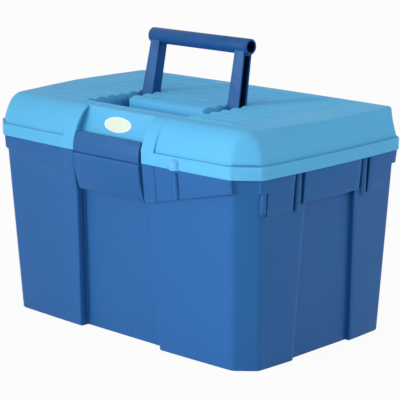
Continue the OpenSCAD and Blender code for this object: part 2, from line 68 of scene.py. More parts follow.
# What the whole box shares, taken from the frame
latchLow, latchHigh = boxOf("latch_flap")
lidHigh = boxOf("lid")[1]
hingeAxis = jointAt("lid_hinge")
latchAxis = jointAt("latch_flip")
handleAxis = jointAt("handle_fold")
box = {
    "bow": 3.4,  # outward bow of each side at its middle
    "cutL": 25.0,  # corner cut along the length, at the lid's flange
    "cutW": 20.0,
    "cornerRound": 2.4,
    "roundMost": 0.45,  # most of a corner's cut that its rounding takes
    "cornerRoom": 1.5,  # stretch before a corner in which a side's columns close up
    "latchProud": 2.4,  # the latch's crease stands this far out from the front
    "ripple": 2.6,  # crest to valley on the lid's top
}
halfL = lidHigh.x - box["bow"]
halfW = -latchLow.y - box["latchProud"] - box["bow"]
rimZ = hingeAxis.z
topZ = lidHigh.z - box["ripple"] / 2


# Small helpers

def mix(a, b, t):
    return a + (b - a) * t


def between(a, b, shares):
    return [mix(a, b, share) for share in shares]


def evenly(a, b, count):
    return between(a, b, [i / count for i in range(count + 1)])


def ease(t):
    t = min(max(t, 0.0), 1.0)
    return t * t * (3 - 2 * t)


def wallStep(inside, foot=1.5, crest=1.1, part=0.08):
    # 0 outside an edge and 1 inside it, with a rounded crest and a filleted foot
    if inside <= -crest:
        return 0.0
    if inside < -wallHalf:
        return part * ((inside + crest) / (crest - wallHalf)) ** 2
    if inside <= wallHalf:
        return mix(part, 1 - part, (inside + wallHalf) / (2 * wallHalf))
    if inside < foot:
        return 1 - part * ((foot - inside) / (foot - wallHalf)) ** 2
    return 1.0


def edgeLines(edge, inward=-1, foot=1.5, crest=1.1, bend=0.4):
    # grid lines that wallStep needs; inward says on which side of the edge the sunk part lies
    steps = (foot, foot * bend, wallHalf, -wallHalf, -crest * bend, -crest)
    return [edge + inward * step for step in steps]


def mirrored(lines):
    return sorted({round(sign * line, 3) for line in lines for sign in (-1, 1)})


def quarter(r, steps=3):
    # points of a rounded edge, from its end: how far from the end, and how far set in there
    angles = [math.pi / 2 * i / steps for i in range(steps + 1)]
    return [(r * (1 - math.cos(a)), r * (1 - math.sin(a))) for a in angles]


def roundedRun(low, high, lowRound, highRound, steps=3):
    # places from low to high, rounded at both ends, and how far the outline is set in there
    start = [(low + up, inset) for up, inset in quarter(lowRound, steps)]
    end = [(high - down, inset) for down, inset in quarter(highRound, steps)]
    return start + end[::-1]


def softEdge(r):
    # small rounded edge in three points: what is left to its end, and how far it has come
    return [(r, 0.0), (softShare * r, softShare * r), (0.0, r)]


def shrunk(outline, inset):
    # counter-clockwise outline drawn in by a small amount along its own normals
    result = []
    for i, (a, b) in enumerate(outline):
        before = Vector(outline[i - 1])
        after = Vector(outline[(i + 1) % len(outline)])
        here = Vector((a, b))
        run = (here - before).normalized() + (after - here).normalized()
        normal = Vector((-run.y, run.x)).normalized()
        result.append((a + normal.x * inset, b + normal.y * inset))
    return result


def circle(r, sides):
    turns = [2 * math.pi * i / sides for i in range(sides)]
    return [(r * math.cos(t), r * math.sin(t)) for t in turns]


def roundRect(halfA, halfB, r, perCorner=6):
    # counter-clockwise, with the same number of points whatever its size
    points = []
    for i, (sa, sb) in enumerate(((1, 1), (-1, 1), (-1, -1), (1, -1))):
        for k in range(perCorner):
            angle = math.pi / 2 * (i + k / (perCorner - 1))
            a = sa * (halfA - r) + r * math.cos(angle)
            b = sb * (halfB - r) + r * math.sin(angle)
            points.append((a, b))
    return points


def runX(side):
    # places a slab's outline along X, from the left with 1 and from the right with -1
    return lambda along, a, b: (side * along, a, b)


def runY(side):
    # places a slab's outline along Y, on the right with 1 and on the left with -1
    return lambda along, a, b: (side * a, along, b)


def intoScene(name, data):
    made = bpy.data.objects.new(name, data)
    bpy.context.scene.collection.objects.link(made)
    return made


class Shell:
    # points and faces of a closed moulding, which make() turns into one piece

    def __init__(self):
        self.points = []
        self.faces = []

    def row(self, points):
        first = len(self.points)
        self.points.extend(points)
        return list(range(first, len(self.points)))

    def face(self, *corners):
        kept = [c for i, c in enumerate(corners) if c != corners[i - 1]]
        if len(kept) > 2:
            self.faces.append(kept)

    def bridge(self, low, high, wrap=True):
        for i in range(len(low) if wrap else len(low) - 1):
            k = (i + 1) % len(low)
            self.face(low[i], low[k], high[k], high[i])

    def bridgeAll(self, rows, wrap=True):
        for low, high in zip(rows, rows[1:]):
            self.bridge(low, high, wrap)

    def stack(self, loops, closed=False):
        # loops are joined in turn; the ends are capped, or joined to each other
        rows = [self.row(loop) for loop in loops]
        self.bridgeAll(rows)
        if closed:
            self.bridge(rows[-1], rows[0])
        else:
            self.face(*reversed(rows[0]))
            self.face(*rows[-1])

    def grid(self, xs, ys, put):
        rows = [self.row([put(x, y) for x in xs]) for y in ys]
        self.bridgeAll(rows, wrap=False)
        return rows

    def post(self, x, y, lowZ, highZ, r, rounds, leanX=0.0, leanY=0.0, sides=28):
        # upright round bar; rounds are its lower and upper end's, leans are per millimetre below its top
        loops = []
        for z, inset in roundedRun(lowZ, highZ, *rounds):
            cx = x + leanX * (highZ - z)
            cy = y + leanY * (highZ - z)
            loops.append([(cx + a, cy + b, z) for a, b in circle(r - inset, sides)])
        self.stack(loops)

    def barX(self, axis, profile, closed=False, sides=32):
        # turned about an axis along X; profile holds x and radius
        loops = [[(x, axis.y + a, axis.z + b) for a, b in circle(r, sides)] for x, r in profile]
        self.stack(loops, closed)

    def tubeX(self, axis, startX, endX, r, bore, edge, bevel=0.4, rings=(0.0, 0.8, 1.8)):
        # bored round bar along X; the rings inside its bore let the painted shade of hollows start behind
        # the bevelled rims
        bevel *= edge
        profile = [(x, r - inset) for x, inset in roundedRun(startX, endX, edge, edge)]
        profile.append((endX, bore + bevel))
        profile += [(endX - bevel - ring, bore) for ring in rings]
        profile += [(startX + bevel + ring, bore) for ring in reversed(rings)]
        profile.append((startX, bore + bevel))
        self.barX(axis, profile, closed=True)

    def block(self, low, high, edge):
        # box with all edges rounded
        centre = [(a + b) / 2 for a, b in zip(low, high)]
        half = [(b - a) / 2 for a, b in zip(low, high)]
        loops = []
        for z, inset in roundedRun(low[2], high[2], edge, edge, steps=2):
            ring = roundRect(half[0] - inset, half[1] - inset, edge, perCorner=4)
            loops.append([(centre[0] + a, centre[1] + b, z) for a, b in ring])
        self.stack(loops)

    def slab(self, outline, start, end, edge, put):
        # outline run from start to end with rounded rims; put gives the point for a place and its outline
        levels = roundedRun(start, end, edge, edge)
        self.stack([[put(along, a, b) for a, b in shrunk(outline, inset)] for along, inset in levels])

    def make(self, name, body, node, material, sharp=38):
        mesh = bpy.data.meshes.new(name)
        mesh.from_pydata([Vector(p) * mm for p in self.points], [], self.faces)
        work = bmesh.new()
        work.from_mesh(mesh)
        bmesh.ops.remove_doubles(work, verts=work.verts, dist=weldGap * mm)
        bmesh.ops.recalc_face_normals(work, faces=work.faces)
        work.to_mesh(mesh)
        work.free()
        mesh.shade_smooth()
        mesh.set_sharp_from_angle(angle=math.radians(sharp))
        mesh.materials.append(material)
        piece = intoScene(name, mesh)
        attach(piece, body)
        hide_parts(node)
        print("made", name, len(mesh.polygons), "faces")
        return piece


# Outline of the box at one level: sides 0 front, 1 right, 2 rear, 3 left, each followed by its corner

def place(side, along, out, z=0.0):
    return Vector(((along, -out, z), (out, along, z), (-along, out, z), (-out, -along, z))[side])


def outlineColumns(longLines, shortLines):
    # a column is its side with a place on that side, or with a step of the corner after it
    columns = []
    for side in range(4):
        for u in (shortLines if side % 2 else longLines):
            columns.append((side, u, None))
        for step in range(1, 2 * cornerSteps + 1):
            columns.append((side, None, step))
    return columns


class Rim:
    # cut-cornered outline with bowed sides; narrow draws its ends in towards the front

    def __init__(self, lengthHalf, widthHalf, cutL, cutW, bow, soft=box["cornerRound"], narrow=0.0):
        self.half = (widthHalf, lengthHalf) * 2
        self.flat = (lengthHalf - cutL - narrow, widthHalf - cutW, lengthHalf - cutL, widthHalf - cutW)
        self.bow = bow
        self.narrow = narrow
        self.round = min(soft, box["roundMost"] * math.hypot(cutL, cutW))

    def outAt(self, side, along):
        out = self.half[side] + self.bow * (1 - (along / self.flat[side]) ** 2)
        if side % 2:
            frontward = -place(side, along, 0.0).y
            out -= self.narrow * max(0.0, frontward) / self.half[0]
        return out

    def onSide(self, side, u, end):
        # columns keep their place, apart from the last ones, which close up before a corner
        reach = self.flat[side] - self.round
        keep = min(end, reach - box["cornerRoom"])
        s = abs(u)
        if s > keep:
            s = keep + (s - keep) * (reach - keep) / (end - keep)
        along = math.copysign(s, u)
        return along, self.outAt(side, along)

    def point(self, side, along):
        return place(side, along, self.outAt(side, along))

    def inCorner(self, side, step, z):
        after = (side + 1) % 4
        first = self.point(side, self.flat[side])
        last = self.point(after, -self.flat[after])
        run = (last - first).normalized() * self.round
        if step <= cornerSteps:
            ends = self.point(side, self.flat[side] - self.round), first, first + run
            t = step / cornerSteps
        else:
            ends = last - run, last, self.point(after, self.round - self.flat[after])
            t = (step - cornerSteps - 1) / cornerSteps
        spot = ends[0] * (1 - t) ** 2 + ends[1] * 2 * t * (1 - t) + ends[2] * t ** 2
        return Vector((spot.x, spot.y, z))


def flangeRim(inset=0.0):
    return Rim(halfL - inset, halfW - inset, box["cutL"], box["cutW"], box["bow"])


# Shader groups that the finishes share

noiseSpan = (0.3, 0.7)  # most of a noise's values lie between these


def feed(tree, socket, value):
    if isinstance(value, bpy.types.NodeSocket):
        tree.links.new(value, socket)
    else:
        socket.default_value = value


def addNode(tree, kind, inputs=(), **values):
    # inputs go by place or name, each with a number, a colour or another node's output
    made = tree.nodes.new(kind)
    for key, value in values.items():
        setattr(made, key, value)
    for key, value in dict(inputs).items():
        feed(tree, made.inputs[key], value)
    return made


def addMath(tree, operation, first, second, clamp=False):
    made = addNode(tree, "ShaderNodeMath", {0: first, 1: second}, operation=operation, use_clamp=clamp)
    return made.outputs[0]


def addNoise(tree, vector, scale, detail, roughness):
    inputs = {"Vector": vector, "Scale": scale, "Detail": detail, "Roughness": roughness}
    return addNode(tree, "ShaderNodeTexNoise", inputs).outputs["Fac"]


def addRange(tree, value, fromLow, fromHigh, toLow=0.0, toHigh=1.0):
    inputs = enumerate((value, fromLow, fromHigh, toLow, toHigh))
    return addNode(tree, "ShaderNodeMapRange", inputs).outputs[0]


def addMix(tree, factor, first, second):
    return addNode(tree, "ShaderNodeMix", {0: factor, 6: first, 7: second}, data_type="RGBA").outputs[2]


def objectCoords(tree):
    return addNode(tree, "ShaderNodeTexCoord").outputs["Object"]


def pointiness(tree):
    return addNode(tree, "ShaderNodeNewGeometry").outputs["Pointiness"]


def startGroup(name, inputs, outputs):
    # a tuple makes a colour socket, and so does the name Color
    group = bpy.data.node_groups.new(name, "ShaderNodeTree")
    for label, value in inputs.items():
        kind = "NodeSocketColor" if isinstance(value, tuple) else "NodeSocketFloat"
        group.interface.new_socket(label, in_out="INPUT", socket_type=kind).default_value = value
    for label in outputs:
        kind = "NodeSocketColor" if label == "Color" else "NodeSocketFloat"
        group.interface.new_socket(label, in_out="OUTPUT", socket_type=kind)
    return group, group.nodes.new("NodeGroupInput").outputs, group.nodes.new("NodeGroupOutput").inputs


grainLook = {  # noises: scale, detail and roughness
    "cloud": (7.0, 4.0, 0.55),
    "streak": (38.0, 3.0, 0.6),
    "grain": (2.0, 0.6),  # its scale is an input
    "wave": (22.0, 2.0, 0.5),
    "waveHeight": 3.0,  # times the grain's
}


def grainGroup():
    # cloudy tone of the pigment, fine spark-eroded grain and the gloss that goes with it
    look = grainLook
    inputs = {"Pigment": (0.5, 0.5, 0.5, 1), "Deep": (0.3, 0.3, 0.3, 1), "Cloud": 0.5, "Grain Scale": 1500.0,
              "Gloss Low": 0.35, "Gloss High": 0.5}
    group, given, result = startGroup("moulded grain", inputs, ("Color", "Roughness", "Height"))
    coords = objectCoords(group)
    cloud = addRange(group, addNoise(group, coords, *look["cloud"]), *noiseSpan)
    share = addMath(group, "MULTIPLY", cloud, given["Cloud"])
    feed(group, result["Color"], addMix(group, share, given["Pigment"], given["Deep"]))
    streak = addNoise(group, coords, *look["streak"])
    gloss = addRange(group, streak, *noiseSpan, given["Gloss Low"], given["Gloss High"])
    feed(group, result["Roughness"], gloss)
    grain = addNoise(group, coords, given["Grain Scale"], *look["grain"])
    wave = addMath(group, "MULTIPLY", addNoise(group, coords, *look["wave"]), look["waveHeight"])
    feed(group, result["Height"], addMath(group, "ADD", grain, wave))
    return group


edgeLook = {
    "patch": (55.0, 3.0, 0.6),
    "patchSpan": (0.3, 0.6),
    "patchLeast": 0.45,  # share of the paling that every edge gets
}


def edgeGroup():
    # mask of outer edges, paled partly by handling wear and partly as painted highlight
    look = edgeLook
    group, given, result = startGroup("edge wear and highlight", {"Amount": 0.5, "Start": 0.52, "Full": 0.6}, ("Mask",))
    edge = addRange(group, pointiness(group), given["Start"], given["Full"])
    noise = addNoise(group, objectCoords(group), *look["patch"])
    patchy = addRange(group, noise, *look["patchSpan"], look["patchLeast"], 1.0)
    worn = addMath(group, "MULTIPLY", edge, patchy)
    feed(group, result["Mask"], addMath(group, "MULTIPLY", worn, given["Amount"]))
    return group


dustLook = {
    "upward": (0.2, 1.0),  # the normal's Z at which dust starts to lie, and lies in full
    "patch": (16.0, 5.0, 0.65),
    "patchSpan": (0.42, 0.75),
}


def dustGroup():
    # thin film of dust that settles in patches on faces that look up
    look = dustLook
    group, given, result = startGroup("settled dust", {"Amount": 0.1}, ("Mask",))
    normal = addNode(group, "ShaderNodeNewGeometry").outputs["Normal"]
    height = addNode(group, "ShaderNodeSeparateXYZ", {0: normal}).outputs["Z"]
    noise = addNoise(group, objectCoords(group), *look["patch"])
    patchy = addRange(group, noise, *look["patchSpan"])
    film = addMath(group, "MULTIPLY", addRange(group, height, *look["upward"]), patchy)
    feed(group, result["Mask"], addMath(group, "MULTIPLY", film, given["Amount"], clamp=True))
    return group


hollowLook = {
    "samples": 16,
    "outward": (0.505, 0.515),  # pointiness at which the painted shade starts to thin out, and is gone
}


def hollowGroup():
    # mask of painted shade in hollows up to a given width, though not on outward curves
    look = hollowLook
    inputs = {"Amount": 0.8, "Reach": 8 * mm, "Open": 0.85, "Shut": 0.4}
    group, given, result = startGroup("painted hollow shade", inputs, ("Mask",))
    around = addNode(group, "ShaderNodeAmbientOcclusion", {"Distance": given["Reach"]},
                     samples=look["samples"], only_local=True)
    depth = addRange(group, around.outputs["AO"], given["Open"], given["Shut"])
    inward = addRange(group, pointiness(group), *look["outward"], 1.0, 0.0)
    kept = addMath(group, "MULTIPLY", depth, inward)
    feed(group, result["Mask"], addMath(group, "MULTIPLY", kept, given["Amount"]))
    return group


groups = {"grain": grainGroup(), "edges": edgeGroup(), "dust": dustGroup(), "hollows": hollowGroup()}


def placeGroup(tree, key, inputs):
    return addNode(tree, "ShaderNodeGroup", inputs, node_tree=groups[key]).outputs


# Finishes

def startMaterial(name):
    material = bpy.data.materials.new(name)
    material.use_nodes = True
    return material, material.node_tree, material.node_tree.nodes["Principled BSDF"].inputs


plasticFinish = {
    "grain": 1500.0,  # grain cells per metre
    "bump": 0.05,
    "bumpDeep": 0.4,
    "cloud": 0.35,
    "dust": 0.05,
    "dustTint": (0.72, 0.72, 0.7, 1),
}
plasticLooks = {  # rub pales the edges, partly as handling wear and partly as painted highlight; the painted shade of hollows is given by its reach in millimetres, open, shut, amount and tint
    "tub": {
        "pigment": (0.021, 0.127, 0.37, 1), "deep": (0.018, 0.117, 0.348, 1), "pale": (0.05, 0.2, 0.5, 1),
        "gloss": (0.36, 0.46), "specular": 0.16, "rubAndHighlight": 0.3,
        "hollowShade": (13.0, 0.86, 0.4, 0.88, (0.24, 0.34, 0.38)),
    },
    "lid": {
        "pigment": (0.112, 0.49, 0.835, 1), "deep": (0.1, 0.465, 0.805, 1), "pale": (0.42, 0.75, 0.96, 1),
        "gloss": (0.58, 0.68), "specular": 0.15, "rubAndHighlight": 0.4,
        "hollowShade": (30.0, 0.95, 0.45, 0.9, (0.1, 0.36, 0.5)),
    },
    "latch": {
        "pigment": (0.017, 0.112, 0.34, 1), "deep": (0.014, 0.104, 0.322, 1), "pale": (0.12, 0.28, 0.56, 1),
        "gloss": (0.42, 0.52), "specular": 0.15, "rubAndHighlight": 0.3,
        "hollowShade": (6.0, 0.74, 0.38, 0.9, (0.3, 0.4, 0.42)),
    },
    "handle": {
        "pigment": (0.007, 0.08, 0.272, 1), "deep": (0.006, 0.074, 0.255, 1), "pale": (0.15, 0.34, 0.66, 1),
        "gloss": (0.4, 0.5), "specular": 0.1, "rubAndHighlight": 0.3,
        "hollowShade": (16.0, 0.8, 0.5, 0.97, (0.1, 0.1, 0.12)),
    },
}
plasticLooks["tray"] = {  # otherwise like the lid
    **plasticLooks["lid"],
    "pigment": (0.11, 0.47, 0.81, 1), "deep": (0.1, 0.445, 0.78, 1), "pale": (0.38, 0.7, 0.92, 1),
}


def mouldedPlastic(name, look):
    finish = plasticFinish
    material, tree, surface = startMaterial(name + " plastic")
    # painted shade for hollows: reach, open and shut levels, amount and tint
    reach, isOpen, isShut, amount, tint = look["hollowShade"]
    hollowShadeTint = tuple(c * k for c, k in zip(look["pigment"], tint)) + (1,)
    grain = placeGroup(tree, "grain", {
        "Pigment": look["pigment"], "Deep": look["deep"], "Cloud": finish["cloud"],
        "Grain Scale": finish["grain"], "Gloss Low": look["gloss"][0], "Gloss High": look["gloss"][1]})
    edges = placeGroup(tree, "edges", {"Amount": look["rubAndHighlight"]})
    dust = placeGroup(tree, "dust", {"Amount": finish["dust"]})
    hollowShade = {"Amount": amount, "Reach": reach * mm, "Open": isOpen, "Shut": isShut}
    hollows = placeGroup(tree, "hollows", hollowShade)
    # edges paled partly by handling wear and partly as painted highlight
    rubbedAndHighlit = addMix(tree, edges["Mask"], grain["Color"], look["pale"])
    dusty = addMix(tree, dust["Mask"], rubbedAndHighlit, finish["dustTint"])
    # painted shade darkens the colour in hollows
    feed(tree, surface["Base Color"], addMix(tree, hollows["Mask"], dusty, hollowShadeTint))
    feed(tree, surface["Roughness"], grain["Roughness"])
    surface["Specular IOR Level"].default_value = look["specular"]
    relief = {"Strength": finish["bump"], "Distance": finish["bumpDeep"] * mm, "Height": grain["Height"]}
    feed(tree, surface["Normal"], addNode(tree, "ShaderNodeBump", relief).outputs["Normal"])
    return material


steelLook = {
    "stretch": (0.05, 1.0, 1.0),  # lines run along the wire
    "lines": (2600.0, 3.0, 0.6),
    "dark": (0.42, 0.43, 0.45, 1),
    "pale": (0.68, 0.69, 0.7, 1),
    "gloss": (0.34, 0.5),
}


def drawnSteel():
    look = steelLook
    material, tree, surface = startMaterial("drawn steel")
    stretched = addNode(tree, "ShaderNodeMapping", {"Vector": objectCoords(tree), "Scale": look["stretch"]})
    lines = addNoise(tree, stretched.outputs["Vector"], *look["lines"])
    feed(tree, surface["Base Color"], addMix(tree, lines, look["dark"], look["pale"]))
    feed(tree, surface["Roughness"], addRange(tree, lines, *noiseSpan, *look["gloss"]))
    surface["Metallic"].default_value = 1.0
    return material


filmLook = {
    "borderFrom": (0.87, 0.91),  # shares of the way from the middle to the rim
    "border": (0.88, 0.9, 0.88, 1),
    "field": (0.74, 0.84, 0.71, 1),
    "gloss": 0.3,
}


def labelFilm():
    # blank oval: white border, pale field
    look = filmLook
    material, tree, surface = startMaterial("label film")
    coords = addNode(tree, "ShaderNodeUVMap", uv_map="oval").outputs["UV"]
    length = addNode(tree, "ShaderNodeVectorMath", {0: coords}, operation="LENGTH").outputs["Value"]
    field = addRange(tree, length, *look["borderFrom"], 1.0, 0.0)
    feed(tree, surface["Base Color"], addMix(tree, field, look["border"], look["field"]))
    surface["Roughness"].default_value = look["gloss"]
    return material


finishes = {name: mouldedPlastic(name, look) for name, look in plasticLooks.items()}
finishes["steel"] = drawnSteel()
finishes["label"] = labelFilm()
print("finishes ready", len(finishes))


# Hinge barrels, which the tub and the lid share

hingeSize = {
    "x": 110.0,  # of each hinge's middle
    "tubBarrel": (12.4, 24.4),  # from a hinge's middle
    "lidBarrel": 12.0,
    "r": 5.0,
    "edge": 0.7,
    "bore": 2.05,
    "leafBack": 2.6,  # a leaf ends this far before the axis
    "leafEdge": 0.6,
}


def hingeBarrel(shell, startX, endX, leafY, leafLow, leafHigh):
    # barrel with the leaf that carries it
    h = hingeSize
    e = h["leafEdge"]
    shell.tubeX(hingeAxis, startX, endX, h["r"], h["bore"], h["edge"])
    shell.block((startX + e, leafY, leafLow), (endX - e, hingeAxis.y - h["leafBack"], leafHigh), e)


# Tub

tubSize = {
    "inset": 5.3,  # walls stand this far inside the lid's flange at the rim
    "draft": 9.6,
    "wall": 2.5,
    "cornerRound": 3.2,
    "cutL": 19.7,
    "cutW": 17.35,
    # plain columns of a long side and of an end, from its middle; edges bring their own
    "longLines": (0, 12, 24, 36, 46, 57, 62, 80, 90, 100, 110, 120, 130, 140, 150, 157, 163, 168),
    "shortLines": (0, 9, 18, 27, 36, 49, 52, 55, 68, 78, 88, 94, 99, 101),
    "lineReach": 45.0,  # lines up to here beside a panel move with its edge
    "bandInset": 1.2,  # rim band inside the flange at the rim
    "bandLowInset": 5.42,
    "bandLowZ": 160.0,
    "bandCornerZ": 186.0,
    "bandFlatX": 60.0,
    "bandMidZ": 167.0,
    "bandEndZ": 162.0,
    "bandEndY": 97.0,
    "bandEndRun": 0.5,
    "bandSlope": 1.5,  # half of the run between its two levels on the ends
    "bayX": 50.4,  # bay behind the latch
    "bayLeft": 2.8,  # the bay reaches this much further at its left
    "bayOut": 114.75,
    "frameX": 68.5,
    "frameProud": 0.9,
    "panelDeep": (10.0, 6.0),  # on the long sides and on the ends
    "panelLong": (55.0, 6.0),  # half width at the top, and what it gains towards the bottom
    "panelShort": (39.0, 7.0),
    "grooveY": 52.0,
    "grooveHalf": 7.5,
    "grooveDeep": 2.6,
    "ribR": 3.25,
    "ribH": 40.0,
    "ribDrop": 0.4,
    "ribRound": (1.6, 1.0),  # at the lower and the upper end, as for the lugs and the boss's rib
    "facetIn": 3.2,  # the band steps back between the corner's edges
    "lugR": 3.5,
    "lugProud": 3.5,
    "lugH": 22.0,
    "lugOver": 1.0,
    "lugRound": (2.4, 1.0),
    "bossX": 98.0,
    "bossRibR": 3.0,
    "bossRibOut": 2.4,
    "bossRibH": 28.5,
    "bossRibDrop": 2.5,
    "bossRibRound": (2.6, 1.0),
    "edge": 0.9,  # rounding of the band's lower edge
    "fillet": 1.2,
    "sliver": 0.06,  # a ledge's flat starts this far below its level and ends as far above it
    "filletMost": 0.4,  # shares of a narrow ledge that its fillet and its edge take
    "edgeMost": 0.45,
    "rimRound": 0.8,
    "footRound": 1.2,
    "footWidth": 9.0,
    "footSlope": 0.8,
    "footRise": 1.2,
    "floorRound": 3.0,
    "middle": (150.0, 85.0),  # the floors' plain faces reach this far
    "wallRows": (0.12, 0.35, 0.65, 0.9),  # shares of a wall's height that get a row of points
    "bandRows": (0.3, 0.65),
    "insideRows": (0.35, 0.7),
    "panelRows": (0.2, 0.5, 0.8),
    "leafY": 124.0,  # hinge leaves start here, inside the wall
    "leafZ": (191.0, 199.4),
    "restX": (179.8, 189.6),  # gussets that carry the tray
    "restHalf": 4.0,
    "restZ": (154.0, 185.5, 188.0),
    "restEdge": 0.7,
    "catchLow": (-20.0, -122.95, 186.0),  # catch behind the latch
    "catchHigh": (20.0, -113.0, 190.0),
    "catchEdge": 0.8,
}


def tubLines():
    t = tubSize
    long = [*t["longLines"], *edgeLines(t["bayX"]), *edgeLines(t["bayX"] + t["bayLeft"])]
    long += edgeLines(t["frameX"])
    short = [*t["shortLines"], t["bandEndY"] - t["bandEndRun"], t["bandEndY"] + t["bandEndRun"]]
    short += edgeLines(t["panelShort"][0], foot=2.2, crest=0.5)
    short += edgeLines(t["grooveY"] - t["grooveHalf"], inward=1, crest=0.4)[:4]
    short += edgeLines(t["grooveY"] + t["grooveHalf"])
    return mirrored(long), mirrored(short)


def tubWall(z, inward=0.0):
    t = tubSize
    lean = t["inset"] + t["draft"] * (1 - z / rimZ) + inward
    return Rim(halfL - lean, halfW - lean, t["cutL"], t["cutW"], box["bow"], t["cornerRound"])


def tubBand(z):
    t = tubSize
    share = (z - t["bandLowZ"]) / (rimZ - t["bandLowZ"])
    lean = mix(t["bandLowInset"], t["bandInset"], share)
    cuts = [mix(t[key], box[key], share) for key in ("cutL", "cutW")]
    return Rim(halfL - lean, halfW - lean, *cuts, box["bow"])


class TubColumn:
    # one upright strip of the tub, from under its floor, up the outside and down the inside

    def __init__(self, column, ends):
        t = tubSize
        self.side, self.u, self.step = column
        self.onEnd = self.side % 2
        self.end = ends[self.onEnd]
        self.edge = t["panelShort"][0] if self.onEnd else t["bayX"]
        if self.side == 0 and self.u is not None and self.u < 0:
            self.edge += t["bayLeft"]
        self.top, self.flare = t["panelShort"] if self.onEnd else t["panelLong"]
        self.panelZ = t["bandMidZ"] if self.onEnd else t["bandLowZ"]
        self.sunk = 0.0 if self.step else wallStep(self.edge - abs(self.u))

    def spread(self, amount):
        # lines beside a panel's edge move along the side with that edge
        s = abs(self.u)
        share = s / self.edge if s <= self.edge else max(0.0, 1 - (s - self.edge) / tubSize["lineReach"])
        return math.copysign(s + amount * share, self.u)

    def low(self, z, inward=0.0):
        # wall with its sunk panel, below the band
        t = tubSize
        rim = tubWall(z, inward)
        if self.step:
            return rim.inCorner(self.side, self.step, z)
        gain = self.top - self.edge + self.flare * (1 - min(z / self.panelZ, 1.0)) + inward
        along, out = rim.onSide(self.side, self.spread(gain), self.end)
        foot = (halfW, halfL)[self.onEnd] - t["inset"] - t["draft"] + box["bow"] - t["panelDeep"][self.onEnd]
        panel = foot + t["draft"] * z / rimZ - inward
        return place(self.side, along, mix(out, panel, self.sunk), z)

    def high(self, z, inset=0.0):
        # band with its frame, bay and grooves
        t = tubSize
        rim = tubBand(z)
        if self.step:
            point = rim.inCorner(self.side, self.step, z)
            inner = tubWall(z, t["wall"]).inCorner(self.side, self.step, z)
            if self.step in (cornerSteps, cornerSteps + 1):
                inset += t["facetIn"]
            return point + (inner - point).normalized() * inset
        along, out = rim.onSide(self.side, self.u, self.end)
        if self.side == 0:
            out += t["frameProud"] * wallStep(t["frameX"] - abs(self.u), part=0.25)
            out = mix(out, t["bayOut"], self.sunk)
        elif self.onEnd:
            floor = halfL - t["bandInset"] - t["grooveDeep"] - t["draft"] * (1 - z / rimZ)
            inGroove = wallStep(t["grooveHalf"] - abs(abs(self.u) - t["grooveY"]), part=0.15)
            out = mix(out, min(out, floor), inGroove)
        return place(self.side, along, out - inset, z)

    def inside(self, z, inward):
        # inner face above the panels
        rim = tubWall(z, inward)
        if self.step:
            return rim.inCorner(self.side, self.step, z)
        gain = inward if self.side == 0 else 0.0
        along, out = rim.onSide(self.side, self.spread(gain), self.end)
        if self.side == 0:
            out = mix(out, tubSize["bayOut"] - inward, self.sunk)
        return place(self.side, along, out, z)

    def bandEdge(self):
        t = tubSize
        s = abs(self.u or 0.0)
        if self.step or (self.onEnd and s > t["bandEndY"]):
            return t["bandCornerZ"]
        if self.onEnd:
            share = (s - t["grooveY"] + t["bandSlope"]) / (2 * t["bandSlope"])
            return mix(t["bandMidZ"], t["bandEndZ"], ease(share))
        share = (s - t["bandFlatX"]) / (halfL - box["cutL"] - t["bandFlatX"])
        return mix(t["bandLowZ"], t["bandCornerZ"], min(max(share, 0.0), 1.0))

    def centre(self, z):
        # ring well inside the outline, so that the floors close with a plain face
        reach, out = tubSize["middle"][::-1] if self.onEnd else tubSize["middle"]
        along = reach if self.step else self.u * reach / self.end
        return place(self.side, along, out, z)

    def ledgeRows(self, low, high, z, foot, edge):
        # ledge from one face to another, with a fillet under it and a rounded outer edge
        t = tubSize
        depth = max((high(z) - low(z)).length, weldGap)
        f = min(foot, t["filletMost"] * depth) / depth
        e = min(edge, t["edgeMost"] * depth) / depth
        levels = []
        for left, come in softEdge(1.0):
            levels.append((z - max(t["sliver"], foot * left), f * come))
        for left, come in softEdge(1.0):
            levels.append((z + max(t["sliver"], edge * come), 1 - e * left))
        return [mix(low(level), high(level), share) for level, share in levels]

    def strip(self):
        t = tubSize
        inner = t["wall"]
        edgeZ = self.bandEdge()
        rows = [self.centre(t["footRise"])]
        foot = [(t["footWidth"], t["footRise"]), (t["footWidth"] - t["footSlope"], 0.0)]
        foot += [(inset, up) for up, inset in quarter(t["footRound"])]
        for inset, z in foot:
            if self.step:
                rows.append(self.low(z, inset))
            else:
                rows.append(self.low(z) - place(self.side, 0.0, inset))
        rows += [self.low(z) for z in between(t["footRound"], edgeZ - t["fillet"], t["wallRows"])]
        rows += self.ledgeRows(self.low, self.high, edgeZ, t["fillet"], t["edge"])
        rimArc = quarter(t["rimRound"])
        rows += [self.high(z) for z in between(edgeZ + t["edge"], rimZ - t["rimRound"], t["bandRows"])]
        rows += [self.high(rimZ - down, inset) for down, inset in reversed(rimArc)]
        rows += [self.inside(rimZ - down, inner - inset) for down, inset in rimArc]
        ledgeZ = self.panelZ + inner
        levels = between(rimZ - t["rimRound"], ledgeZ + t["edge"], t["insideRows"])
        rows += [self.inside(z, inner) for z in levels]

        def lowInside(z):
            return self.low(z, inner)

        def highInside(z):
            return self.inside(z, inner)

        rows += reversed(self.ledgeRows(lowInside, highInside, ledgeZ, t["edge"], t["fillet"]))
        levels = between(ledgeZ - t["edge"], inner + t["floorRound"], t["panelRows"])
        rows += [lowInside(z) for z in levels]
        rows += [self.low(inner + up, inner + inset) for up, inset in reversed(quarter(t["floorRound"]))]
        rows.append(self.centre(inner))
        return rows


